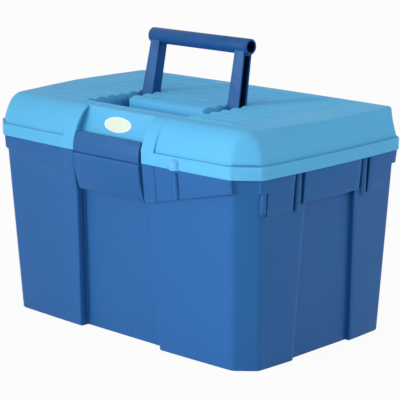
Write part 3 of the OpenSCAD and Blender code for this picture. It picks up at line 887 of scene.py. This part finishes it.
def tubEnds(shell):
    # half-round ribs in the grooves, lugs beside the front corners, gussets for the tray
    t = tubSize
    lean = -t["draft"] / rimZ
    lugX = halfL - t["inset"] - t["draft"] * (1 - t["bandCornerZ"] / rimZ) + t["lugProud"] - t["lugR"]
    lugY = -t["bandEndY"] - t["lugR"]
    lugZ = t["bandCornerZ"] - t["lugH"], t["bandCornerZ"] + t["lugOver"]
    ribX = halfL - t["bandInset"] - t["grooveDeep"] / 2
    ribZ = rimZ - t["ribDrop"] - t["ribH"], rimZ - t["ribDrop"]
    restLow, restMid, restTop = t["restZ"]
    restIn, restOut = t["restX"]
    rest = [(restIn, restMid), (restOut, restLow), (restOut, restTop), (restIn, restTop)]
    for side in (-1, 1):
        shell.post(side * lugX, lugY, *lugZ, t["lugR"], t["lugRound"], leanX=side * lean)
        for y in (-t["grooveY"], t["grooveY"]):
            shell.post(side * ribX, y, *ribZ, t["ribR"], t["ribRound"], leanX=side * lean)
            shell.slab(rest, y - t["restHalf"], y + t["restHalf"], t["restEdge"], runY(side))


def tubFront(shell):
    # rib under the boss, and the catch behind the latch
    t = tubSize
    lean = (t["bandLowInset"] - t["bandInset"]) / (rimZ - t["bandLowZ"])
    ribZ = rimZ - t["bossRibDrop"] - t["bossRibH"], rimZ - t["bossRibDrop"]
    ribY = t["bossRibR"] - t["bossRibOut"] + t["bandInset"] - flangeRim().outAt(0, t["bossX"])
    shell.post(t["bossX"], ribY, *ribZ, t["bossRibR"], t["bossRibRound"], leanY=lean)
    shell.block(t["catchLow"], t["catchHigh"], t["catchEdge"])


def makeTub():
    shell = Shell()
    longLines, shortLines = tubLines()
    ends = longLines[-1], shortLines[-1]
    strips = [TubColumn(c, ends).strip() for c in outlineColumns(longLines, shortLines)]
    shell.stack([list(row) for row in zip(*strips)])
    tubEnds(shell)
    tubFront(shell)
    near, far = hingeSize["tubBarrel"]
    for middle in (-hingeSize["x"], hingeSize["x"]):
        for startX, endX in ((middle - far, middle - near), (middle + near, middle + far)):
            hingeBarrel(shell, startX, endX, tubSize["leafY"], *tubSize["leafZ"])
    return shell.make("tub_moulding", "tub_body", "tub", finishes["tub"])


makeTub()


# Lid

lidSize = {
    "wall": 2.2,
    "gap": 0.3,  # between its lower edge and the tub's rim
    "flangeH": 13.5,
    "ledge": 2.5,
    "ledgeFillet": ((0.5, 0.02), (0.12, 0.15), (0.0, 0.5)),  # before the dome's foot, and above the ledge
    "leanW": 22.0,
    "leanL": 7.0,
    "leanShare": (0.27, 0.5),  # share of each lean that goes with the height, the rest with the curve
    "narrow": 16.0,  # what each end of the top draws in towards the front
    "narrowFrom": 130.0,
    "narrowPower": 3,  # how late, on the way up, the ends draw in and the corners close
    "cutPower": 2.9,
    "cutFoot": 0.93,  # corner cut as a share of the flange's, at the dome's foot and top
    "cutTop": 0.12,
    "domeAngles": (4, 9, *range(19, 80, 6), 84, 87, 90),  # rows of the dome, 90 at its top
    "edge": 0.9,
    "innerEdge": 0.5,  # rounding at the foot and the top of the flange's inner face
    "innerRise": 0.4,
    "frameX": 68.5,
    "pocketX": 50.4,
    "pocketFoot": 1.2,
    "pocketOut": 119.35,
    "pocketTopZ": 221.1,
    "panelTopOut": 108.45,
    # plain columns of the top and of the front, from the middle; edges bring their own
    "lines": (0, 10, 20, 30, 40, 62, 86, 96, 106, 116, 126, 134, 138, 141, 144, 147, 150, 158, 166, 172),
    "gridX": 178.0,  # the flat top is a grid out to here
    "gridY": 98.0,
    "rowPitch": 2.0,
    "rowRoom": 0.35,  # a row closer than this to a well's edge is left out
    "ripplePitch": 16.0,
    "rippleRearY": 92.0,
    "rippleFrontY": -92.0,
    "rippleEnds": (138.0, 150.0),  # where the ripples fade out
    "rippleFade": 4.0,
    "rippleLate": 2.0,  # the rear fade starts this far behind the last crest
    "wellX": 76.5,
    "wellFrontY": -88.0,
    "wellRearY": 5.0,
    "wellZ": 224.0,
    "tongueX": 55.7,
    "tongueFrontY": -45.0,
    "bossR": 6.0,
    "bossOut": 3.4,
    "bossLift": 0.2,
    "bossRound": (0.4, 2.4),
    "bossRingR": 8.0,
    "bossRingOut": 4.2,
    "bossRingH": 2.5,
    "bossRingRound": (0.7, 1.1),
    "topRound": 7.0,  # rounding of the corner edges at the top
    "leafY": 129.5,
    "leafLift": 0.2,
    "leafTopZ": 204.4,
}
lidZ = rimZ + lidSize["gap"]
domeZ = lidZ + lidSize["flangeH"]
domeH = topZ - domeZ


def wallPair(line):
    # grid lines at the foot and the crest of an upright step on the underside
    return [line - wallHalf, line + wallHalf]


def lidLines():
    s = lidSize
    wall = s["wall"]
    xs = [*s["lines"], s["gridX"], *edgeLines(s["pocketX"], foot=s["pocketFoot"])]
    xs += edgeLines(s["tongueX"], inward=1) + edgeLines(s["frameX"]) + edgeLines(s["wellX"])
    for inner in (s["pocketX"] + wall, s["tongueX"] - wall, s["wellX"] + wall):
        xs += wallPair(inner)
    edges = edgeLines(s["wellFrontY"], inward=1) + edgeLines(s["tongueFrontY"]) + edgeLines(s["wellRearY"])
    for inner in (s["wellFrontY"] - wall, s["tongueFrontY"] + wall, s["wellRearY"] + wall):
        edges += wallPair(inner)
    rows = int(2 * s["gridY"] / s["rowPitch"]) + 1
    ys = [-s["gridY"] + s["rowPitch"] * i for i in range(rows)]
    ys = [y for y in ys if min(abs(y - e) for e in edges) > s["rowRoom"]]
    return mirrored(xs), sorted(ys + edges)


def inWell(x, y, grow):
    # distance inside the well's border, seen from above, which goes round the tongue
    s = lidSize
    tongue = max(abs(x) - s["tongueX"], s["tongueFrontY"] - y)
    sides = min(s["wellX"] - abs(x), y - s["wellFrontY"], s["wellRearY"] - y)
    return min(sides + grow, tongue + grow)


def topPoint(x, y, z):
    # the top's ends draw in towards the front
    s = lidSize
    outer = max(0.0, abs(x) - s["narrowFrom"]) / (s["gridX"] - s["narrowFrom"])
    front = max(0.0, -y) / (halfW - s["ledge"] - s["leanW"])
    return (math.copysign(abs(x) - s["narrow"] * outer * front, x), y, z)


def lidTop(x, y):
    s = lidSize
    turn = (y - s["rippleRearY"]) / s["ripplePitch"]
    offset = 2 * abs(turn - round(turn))
    arch = box["ripple"] * (0.5 - offset * offset)
    fadeFrom, fadeTo = s["rippleEnds"]
    fade = 1 - ease((abs(x) - fadeFrom) / (fadeTo - fadeFrom))
    fade *= ease((y - s["rippleFrontY"]) / s["rippleFade"] + 1)
    fade *= 1 - ease((y - s["rippleRearY"] - s["rippleLate"]) / s["rippleFade"])
    return topPoint(x, y, mix(topZ + arch * fade, s["wellZ"], wallStep(inWell(x, y, 0.0), part=0.06)))


def lidUnder(x, y):
    s = lidSize
    inside = wallStep(inWell(x, y, s["wall"]), foot=0.4, crest=0.4, part=0.01)
    return topPoint(x, y, mix(topZ, s["wellZ"], inside) - s["wall"])


def domeRim(angle, shrink=0.0):
    s = lidSize
    rise = math.sin(angle)
    turn = 1 - math.cos(angle)
    back = s["ledge"] + shrink
    leanW = s["leanW"] * mix(turn, rise, s["leanShare"][0])
    leanL = s["leanL"] * mix(turn, rise, s["leanShare"][1])
    cut = mix(s["cutFoot"], s["cutTop"], rise ** s["cutPower"])
    soft = mix(box["cornerRound"], s["topRound"], rise)
    return Rim(halfL - back - leanL, halfW - back - leanW, box["cutL"] * cut, box["cutW"] * cut,
               box["bow"], soft, s["narrow"] * rise ** s["narrowPower"])


def pocketFace(z):
    s = lidSize
    share = max(0.0, (z - s["pocketTopZ"]) / (topZ - s["pocketTopZ"]))
    return mix(s["pocketOut"], s["panelTopOut"], share)


def lidRow(columns, ends, rim, z, flush, wall):
    # one level of the lid; flush is how far the frame stands proud of the rim given
    s = lidSize
    points = []
    for side, u, step in columns:
        if step:
            points.append(rim.inCorner(side, step, z))
            continue
        along, out = rim.onSide(side, u, ends[side % 2])
        if side == 0:
            out += flush * wallStep(s["frameX"] - abs(u), part=0.25)
            sunk = wallStep(s["pocketX"] + wall - abs(u), foot=s["pocketFoot"])
            out = mix(out, min(out, pocketFace(z + wall) - wall), sunk)
        points.append(place(side, along, out, z))
    return points


def lidFittings(shell):
    # boss with a ring at its foot, and the hinge barrels
    s = lidSize
    bossX = tubSize["bossX"]
    face = -flangeRim().outAt(0, bossX)
    shell.post(bossX, face + s["bossR"] - s["bossOut"], lidZ + s["bossLift"], domeZ - s["ledge"],
               s["bossR"], s["bossRound"])
    shell.post(bossX, face + s["bossRingR"] - s["bossRingOut"], lidZ, lidZ + s["bossRingH"],
               s["bossRingR"], s["bossRingRound"])
    reach = hingeSize["lidBarrel"]
    for middle in (-hingeSize["x"], hingeSize["x"]):
        hingeBarrel(shell, middle - reach, middle + reach, s["leafY"], lidZ + s["leafLift"], s["leafTopZ"])


def makeLid():
    s = lidSize
    wall = s["wall"]
    shell = Shell()
    xs, ys = lidLines()
    ends = xs[-1], ys[-1]
    columns = outlineColumns(xs, ys)

    def level(rim, z, flush=0.0, wall=0.0):
        return shell.row(lidRow(columns, ends, rim, z, flush, wall))

    # outer face, from the lower edge up
    edgeArc = quarter(s["edge"])
    outer = [level(flangeRim(inset), lidZ + up) for up, inset in edgeArc]
    outer.append(level(flangeRim(), (lidZ + domeZ) / 2))
    outer += [level(flangeRim(inset), domeZ - down, flush=inset) for down, inset in reversed(edgeArc)]
    for before, up in s["ledgeFillet"]:
        back = s["ledge"] - before
        outer.append(level(flangeRim(back), domeZ + up, flush=back))
    bend = math.degrees(math.asin((s["pocketTopZ"] - domeZ) / domeH))
    angles = [math.radians(a) for a in sorted((*s["domeAngles"], bend))]
    for angle in angles:
        rise = math.sin(angle)
        outer.append(level(domeRim(angle), domeZ + domeH * rise, flush=s["ledge"] * (1 - rise)))
    # inner face, from the lower edge up
    soft = s["innerEdge"]
    under = domeZ - wall
    levels = [(wall - left, lidZ + come) for left, come in softEdge(soft)]
    levels += [(wall, under - soft), (wall + soft, under), (wall + s["ledge"], under + s["innerRise"])]
    inner = [level(flangeRim(back), z, wall=wall) for back, z in levels]
    for angle in angles[1::2]:
        inner.append(level(domeRim(angle, wall), under + domeH * math.sin(angle), wall=wall))
    shell.bridgeAll(outer)
    shell.bridgeAll(inner)
    shell.bridge(inner[0], outer[0])
    # flat top and its underside, stitched to the last rows
    for last, put in ((outer[-1], lidTop), (inner[-1], lidUnder)):
        net = shell.grid(xs, ys, put)
        border = []
        for line in (net[0], [r[-1] for r in net], net[-1][::-1], [r[0] for r in reversed(net)]):
            border += line + [line[-1]] * (2 * cornerSteps)
        shell.bridge(last, border)
    lidFittings(shell)
    return shell.make("lid_moulding", "lid_body", "lid", finishes["lid"])


makeLid()


# Latch

latchSize = {
    "thick": 3.0,
    "down": 40.0,  # from the crease to the middle of the lower lip
    "sweep": 8.0,  # how far the lower edge curves in
    "lean": 5.0,  # how far the top edge leans back
    "crease": (1.4, 1.5),  # half height and depth, of which its shape gives shares
    "creaseShape": ((1.0, 0.0), (0.75, 0.25), (0.35, 1.0), (-0.35, 1.0), (-0.75, 0.25), (-1.0, 0.0)),
    "upperRows": 9,
    "lowerRows": 12,
    "lipSteps": 8,
    "returnZ": (164.0, 209.0),  # edges turned back along both sides
    "returnRows": 10,
    "returnIn": 1.0,
    "returnDeep": 7.0,
    "returnThick": 1.5,
    "returnGap": 0.03,
    "returnEdge": 0.4,
    "edge": 0.9,
    "topEdge": 0.8,
    "topShape": ((0.85, 0.25), (0.6, 0.0), (0.35, 0.0), (0.12, 0.25)),  # share of the thickness, and drop
    "barrelR": 3.6,
    "barrelGap": 0.3,
    "barrelEdge": 0.5,
    "bore": 2.05,
    "hookX": 20.0,
    "hookBack": -130.6,
    "hookTip": -123.35,
    "hookZ": (181.6, 185.6),
    "hookEdge": 0.7,
}


def latchFace(z):
    s = latchSize
    if z > rimZ:
        return latchLow.y + s["lean"] * ((z - rimZ) / (latchHigh.z - rimZ)) ** 3
    return latchLow.y + s["sweep"] * ((rimZ - z) / s["down"]) ** 2


def latchProfile():
    # counter-clockwise in the side view: down the front, round the lip, up the back
    s = latchSize
    thick = s["thick"]
    lipZ = rimZ - s["down"]
    highZ = latchHigh.z
    high, deep = s["crease"]
    upper = evenly(highZ - s["topEdge"], rimZ + 2 * high, s["upperRows"])
    lower = evenly(rimZ - 2 * high, lipZ, s["lowerRows"])
    points = [(latchFace(z), z) for z in upper]
    points += [(latchFace(rimZ) + deep * depth, rimZ + high * rise) for rise, depth in s["creaseShape"]]
    points += [(latchFace(z), z) for z in lower]
    for i in range(1, s["lipSteps"]):  # rolled lower lip
        a = math.pi * (1 + i / s["lipSteps"])
        points.append((latchFace(lipZ) + thick / 2 * (1 + math.cos(a)), lipZ + thick / 2 * math.sin(a)))
    points += [(latchFace(z) + thick, z) for z in reversed(upper + lower)]
    points += [(latchFace(highZ) + thick * share, highZ - down) for share, down in s["topShape"]]
    return points


def makeLatch():
    s = latchSize
    shell = Shell()
    half = latchHigh.x
    rise = evenly(*s["returnZ"], s["returnRows"])
    turned = [(latchFace(z) + s["returnIn"], z) for z in reversed(rise)]
    turned += [(latchFace(z) + s["returnIn"] + s["returnDeep"], z) for z in rise]
    shell.slab(latchProfile(), -half, half, s["edge"], runX(1))
    for side in (-1, 1):
        shell.slab(turned, half - s["returnThick"], half - s["returnGap"], s["returnEdge"], runX(side))
    barrelX = half - s["barrelGap"]
    shell.tubeX(latchAxis, -barrelX, barrelX, s["barrelR"], s["bore"], s["barrelEdge"])
    hookLow, hookHigh = s["hookZ"]
    shell.block((-s["hookX"], s["hookBack"], hookLow), (s["hookX"], s["hookTip"], hookHigh), s["hookEdge"])
    return shell.make("latch_moulding", "latch_body", "latch_flap", finishes["latch"])


makeLatch()


# Carrying handle, drawn upright about its pivot and then leaned back

handleSize = {
    "lean": 11.4,
    "armLen": 73.6,
    "gripHalf": 73.5,
    "gripR": 8.5,
    "gripBore": 6.25,
    "gripEdge": 1.0,
    "armIn": 56.5,
    "armFoot": 17.0,  # width at the pivot
    "armTop": 13.0,
    "armHalf": 6.5,  # half of its depth from front to back
    "web": 3.0,
    "slotFoot": (4.5, 8.0),  # half width and height of the open channel at its foot
    "slotTop": (4.1, 63.6),
    "slotCorner": 0.3,  # share of its half width
    "slotEdge": 0.6,
    "slotFillet": 1.0,
    "edge": 0.5,
}


def innerFace(away):
    return lambda z: handleSize["armIn"] + away


def outerFace(away):
    s = handleSize
    return lambda z: s["armIn"] + mix(s["armFoot"], s["armTop"], z / s["armLen"]) - away


def armRing(side, inset, face):
    # arm in its side view, round at its foot and hollowed at its top, where it ends in the grip's wall
    s = handleSize
    wallR = (s["gripR"] + s["gripBore"]) / 2
    middle = s["armLen"] / 2
    half = s["armHalf"] - inset
    points = []
    for b, a in roundRect(middle + half, half, half - tipGap):
        z = s["armLen"] - math.sqrt(wallR ** 2 - a ** 2) if b > 0 else middle + b
        points.append((side * face(z), a, z))
    return points


def slotRing(side, grow, face):
    # open channel, wider at its foot than at its top
    s = handleSize
    footHalf, footZ = s["slotFoot"]
    topHalf, slotTopZ = s["slotTop"]
    points = []
    for b, a in roundRect((slotTopZ - footZ) / 2 + grow, 1.0, s["slotCorner"]):
        z = (footZ + slotTopZ) / 2 + b
        width = mix(footHalf, topHalf, (z - footZ) / (slotTopZ - footZ)) + grow
        points.append((side * face(z), a * width, z))
    return points


def makeHandle():
    s = handleSize
    shell = Shell()
    gripAxis = Vector((0.0, 0.0, s["armLen"]))
    shell.tubeX(gripAxis, -s["gripHalf"], s["gripHalf"], s["gripR"], s["gripBore"], s["gripEdge"])
    edgeArc = quarter(s["edge"])
    for side in (-1, 1):
        loops = [armRing(side, inset, innerFace(up)) for up, inset in edgeArc]
        loops += [armRing(side, inset, outerFace(up)) for up, inset in reversed(edgeArc)]
        loops += [slotRing(side, left, outerFace(come)) for left, come in softEdge(s["slotEdge"])]
        for left, come in softEdge(s["slotFillet"]):
            loops.append(slotRing(side, -come, innerFace(s["web"] + left)))
        shell.stack(loops)
    turn = Matrix.Rotation(math.radians(-s["lean"]), 3, "X")
    pivot = Vector((0.0, handleAxis.y, handleAxis.z))
    shell.points = [turn @ Vector(p) + pivot for p in shell.points]
    return shell.make("handle_moulding", "handle_body", "carry_handle", finishes["handle"])


makeHandle()


# Lift-out tray

trayLow, trayHigh = boxOf("insert_tray")
traySize = {
    "flangeZ": 190.3,
    "flangeThick": 2.0,
    "flangeL": 10.0,
    "flangeW": 9.0,
    "flangeFillet": 0.8,
    "lines": (0, 40, 80, 86),  # columns of a side, spread over its length
    "cut": 14.0,
    "draft": 4.0,
    "wall": 2.0,
    "edge": 0.7,
    "floorRound": 3.0,
    "dividerY": 10.0,
    "dividerX": 58.0,
    "dividerIn": 3.6,  # dividers end this far inside the body's outline, in its walls
    "dividerFoot": 1.0,  # and reach this far into its floor
    "dividerDrop": 0.6,
    "dividerEdge": 0.6,
    "barHalf": (45.0, 13.0),
    "barRound": 4.0,
    "barThick": 4.0,
    "slotHalf": (40.0, 8.0),
    "slotDown": 5.0,  # from the bar's top
    "barEdge": 0.7,
}


def trayLoops(bodyL, bodyW):
    # from under the floor, up the outside, over the flange and down the inside
    s = traySize
    lines = mirrored(s["lines"])
    columns = outlineColumns(lines, lines)
    flangeLow = s["flangeZ"] - s["flangeThick"]
    middleZ = (trayLow.z + flangeLow) / 2
    wall = s["wall"]

    def level(lengthHalf, widthHalf, z):
        rim = Rim(lengthHalf, widthHalf, s["cut"], s["cut"], 0.0)
        points = []
        for side, u, step in columns:
            if step:
                points.append(rim.inCorner(side, step, z))
            else:
                along = u * (rim.flat[side] - rim.round) / lines[-1]
                points.append(place(side, along, rim.outAt(side, along), z))
        return points

    def body(z, inset):
        lean = s["draft"] * (flangeLow - z) / (flangeLow - trayLow.z) + inset
        return level(bodyL - lean, bodyW - lean, z)

    loops = [body(trayLow.z + up, inset) for up, inset in quarter(s["floorRound"])]
    fillet = s["flangeFillet"]
    loops += [body(middleZ, 0.0), body(flangeLow - fillet, 0.0), body(flangeLow, -fillet)]
    for z, inset in roundedRun(flangeLow, s["flangeZ"], s["edge"], s["edge"]):
        loops.append(level(trayHigh.x - inset, trayHigh.y - inset, z))
    loops += [body(s["flangeZ"] - down, wall - inset) for down, inset in quarter(s["edge"])]
    loops.append(body(middleZ, wall))
    for up, inset in reversed(quarter(s["floorRound"])):
        loops.append(body(trayLow.z + wall + up, wall + inset))
    return loops


def trayDividers(shell, bodyL, bodyW):
    # their ends and feet stand in the walls and the floor
    s = traySize
    y = s["dividerY"]
    half = s["wall"] / 2
    low = trayLow.z + s["wall"] - s["dividerFoot"]
    high = s["flangeZ"] - s["dividerDrop"]
    endX = bodyL - s["dividerIn"]
    endY = bodyW - s["dividerIn"]
    spans = [((-endX, y - half), (endX, y + half)), ((-half, y), (half, endY))]
    spans += [((x - half, -endY), (x + half, y)) for x in (-s["dividerX"], s["dividerX"])]
    for start, end in spans:
        shell.block((*start, low), (*end, high), s["dividerEdge"])


def trayBar(shell):
    # lifting bar with a finger slot: its front with the slot's front edge, then the same at the back
    s = traySize
    barZ = trayHigh.z - s["barHalf"][1]
    slotZ = trayHigh.z - s["slotDown"] - s["slotHalf"][1]
    front = -s["barThick"] / 2
    bevel = [(front + left, come) for left, come in softEdge(s["barEdge"])]
    rings = [(y, -inset, barZ, s["barHalf"], s["barRound"]) for y, inset in bevel]
    slotRound = s["slotHalf"][1] - tipGap
    rings += [(y, inset, slotZ, s["slotHalf"], slotRound) for y, inset in reversed(bevel)]
    rings += [(-y, *rest) for y, *rest in reversed(rings)]
    loops = []
    for y, grow, z, (halfX, halfZ), r in rings:
        outline = roundRect(halfX + grow, halfZ + grow, r + grow, perCorner=8)
        loops.append([(a, s["dividerY"] + y, z + b) for a, b in outline])
    shell.stack(loops, closed=True)


def makeTray():
    shell = Shell()
    bodyL = trayHigh.x - traySize["flangeL"]
    bodyW = trayHigh.y - traySize["flangeW"]
    shell.stack(trayLoops(bodyL, bodyW))
    trayDividers(shell, bodyL, bodyW)
    trayBar(shell)
    return shell.make("tray_moulding", "tray_body", "insert_tray", finishes["tray"])


makeTray()


# Pins

pinSize = {
    "headThick": 1.5,
    "headRim": 1.5,
    "edge": 0.4,
}


def makePin(node, body, axis, inner, outer, r, headed=True):
    # turned pin with a domed head at its outer end
    s = pinSize
    e = s["edge"]
    away = math.copysign(1.0, outer - inner)
    profile = [(inner + away * come, r - left) for left, come in softEdge(e)]
    if headed:
        neck = outer - away * s["headThick"]
        head = r + s["headRim"]
        profile += [(neck, r), (neck, head - e), (neck + away * e, head), (outer - away * 2 * e, head)]
        profile += [(outer - away * e, head - e), (outer - away * e / 4, head - 3 * e), (outer, r / 2)]
    else:
        profile += [(outer - away * come, r - left) for left, come in reversed(softEdge(e))]
    shell = Shell()
    shell.barX(axis, profile)
    return shell.make(node + "_turned", body, node, finishes["steel"], sharp=30)


def makePins():
    pairs = ("hinge_pin_", "tub_body", hingeAxis), ("handle_pin_", "lid_body", handleAxis)
    for name in ("left", "right"):
        for node, body, axis in pairs:
            low, high = boxOf(node + name)
            inner, outer = (high.x, low.x) if name == "left" else (low.x, high.x)
            makePin(node + name, body, axis, inner, outer, (high.z - low.z) / 2 - pinSize["headRim"])
    low, high = boxOf("latch_pin")
    makePin("latch_pin", "lid_body", latchAxis, low.x, high.x, (high.z - low.z) / 2, headed=False)


makePins()


# Blank label on the badge panel

labelSize = {
    "half": (20.0, 8.25),
    "thick": 0.5,
    "drop": 2.1,  # below the middle of its panel
    "sides": 64,
    "rings": (  # shares of its outline and of its thickness, from its back to its middle
        (1.0, 0.0), (1.0, 0.6), (0.992, 0.86), (0.97, 1.0), (0.86, 0.93), (0.82, 0.9), (0.4, 0.94)),
}


def makeLabel():
    s = labelSize
    halfX, halfUp = s["half"]
    low = Vector((0.0, -lidSize["pocketOut"], lidSize["pocketTopZ"]))
    high = Vector((0.0, -lidSize["panelTopOut"], topZ))
    across = Vector((1, 0, 0))
    upward = (high - low).normalized()
    outward = across.cross(upward)
    centre = (low + high) / 2 - upward * s["drop"]
    shell = Shell()
    loops = []
    for scale, lift in s["rings"]:
        level = centre + outward * (s["thick"] * lift)
        ring = circle(scale, s["sides"])
        loops.append([level + across * (halfX * a) + upward * (halfUp * b) for a, b in ring])
    shell.stack(loops)
    piece = shell.make("label_oval", "lid_body", "badge_label", finishes["label"])
    layer = piece.data.uv_layers.new(name="oval")
    for corner in piece.data.loops:
        offset = piece.data.vertices[corner.vertex_index].co / mm - centre
        layer.data[corner.index].uv = (offset.dot(across) / halfX, offset.dot(upward) / halfUp)
    return piece


makeLabel()


# Camera, floor and light

stageSize = {
    "cameraAt": (1236.86, -1274.84, 546.66),
    "cameraTurn": (76.86, 0.09, 43.93),
    "lens": 148.78,
    "sensor": 36.0,
    "farthest": 50.0,  # in metres, as are the floor and the lamps
    "floorHalf": 6.0,
    "floorColour": (0.9, 0.9, 0.9, 1),
    "floorRough": 0.9,
    "floorGlow": 0.94,  # share of the floor's own white, the rest takes the shadow
    "worldLight": 0.565,
}
lamps = [  # name, place, aim, size, power, spread in degrees
    ("key", (-1.0, -2.6, 0.8), (0.36, -0.13, 0.16), 0.8, 1.8, 30.0),
    ("front", (0.5, -2.7, 0.9), (0.0, 0.0, 0.14), 0.9, 8.0, 180.0),
    ("side", (2.4, 1.3, 1.3), (0.1, 0.0, 0.12), 0.8, 9.0, 180.0),
]


def makeCamera():
    s = stageSize
    data = bpy.data.cameras.new("camera")
    data.sensor_width = s["sensor"]
    data.lens = s["lens"]
    data.clip_end = s["farthest"]
    camera = intoScene("camera", data)
    camera.location = Vector(s["cameraAt"]) * mm
    camera.rotation_euler = [math.radians(a) for a in s["cameraTurn"]]
    bpy.context.scene.camera = camera


def seenDirectly(tree):
    # 1 where the camera, a mirror or glass looks at the backdrop
    path = addNode(tree, "ShaderNodeLightPath").outputs
    direct = addMath(tree, "ADD", path["Is Camera Ray"], path["Is Glossy Ray"], clamp=True)
    return addMath(tree, "ADD", direct, path["Is Transmission Ray"], clamp=True)


def makeFloor():
    s = stageSize
    half = s["floorHalf"]
    mesh = bpy.data.meshes.new("floor")
    corners = [(-half, -half, 0), (half, -half, 0), (half, half, 0), (-half, half, 0)]
    mesh.from_pydata(corners, [], [(0, 1, 2, 3)])
    floor = intoScene("floor", mesh)
    material, tree, surface = startMaterial("pale floor")
    surface["Base Color"].default_value = s["floorColour"]
    surface["Roughness"].default_value = s["floorRough"]
    shown = addMath(tree, "MULTIPLY", seenDirectly(tree), s["floorGlow"])
    matte = tree.nodes["Principled BSDF"].outputs[0]
    glow = addNode(tree, "ShaderNodeEmission").outputs[0]
    blend = addNode(tree, "ShaderNodeMixShader", {0: shown, 1: matte, 2: glow})
    feed(tree, tree.nodes["Material Output"].inputs[0], blend.outputs[0])
    mesh.materials.append(material)


def makeLight():
    world = bpy.data.worlds.new("studio")
    world.use_nodes = True
    tree = world.node_tree
    background = tree.nodes["Background"].inputs
    background["Color"].default_value = (1, 1, 1, 1)
    strength = addRange(tree, seenDirectly(tree), 0.0, 1.0, stageSize["worldLight"], 1.0)
    feed(tree, background["Strength"], strength)
    bpy.context.scene.world = world
    for name, spot, aim, size, power, spread in lamps:
        data = bpy.data.lights.new(name, "AREA")
        data.shape = "DISK"
        data.size = size
        data.energy = power
        data.spread = math.radians(spread)
        lamp = intoScene(name, data)
        lamp.location = spot
        lamp.rotation_euler = (Vector(aim) - Vector(spot)).to_track_quat("-Z", "Y").to_euler()


makeCamera()
makeFloor()
makeLight()
bpy.context.scene.view_settings.view_transform = "Standard"
print("stage ready")
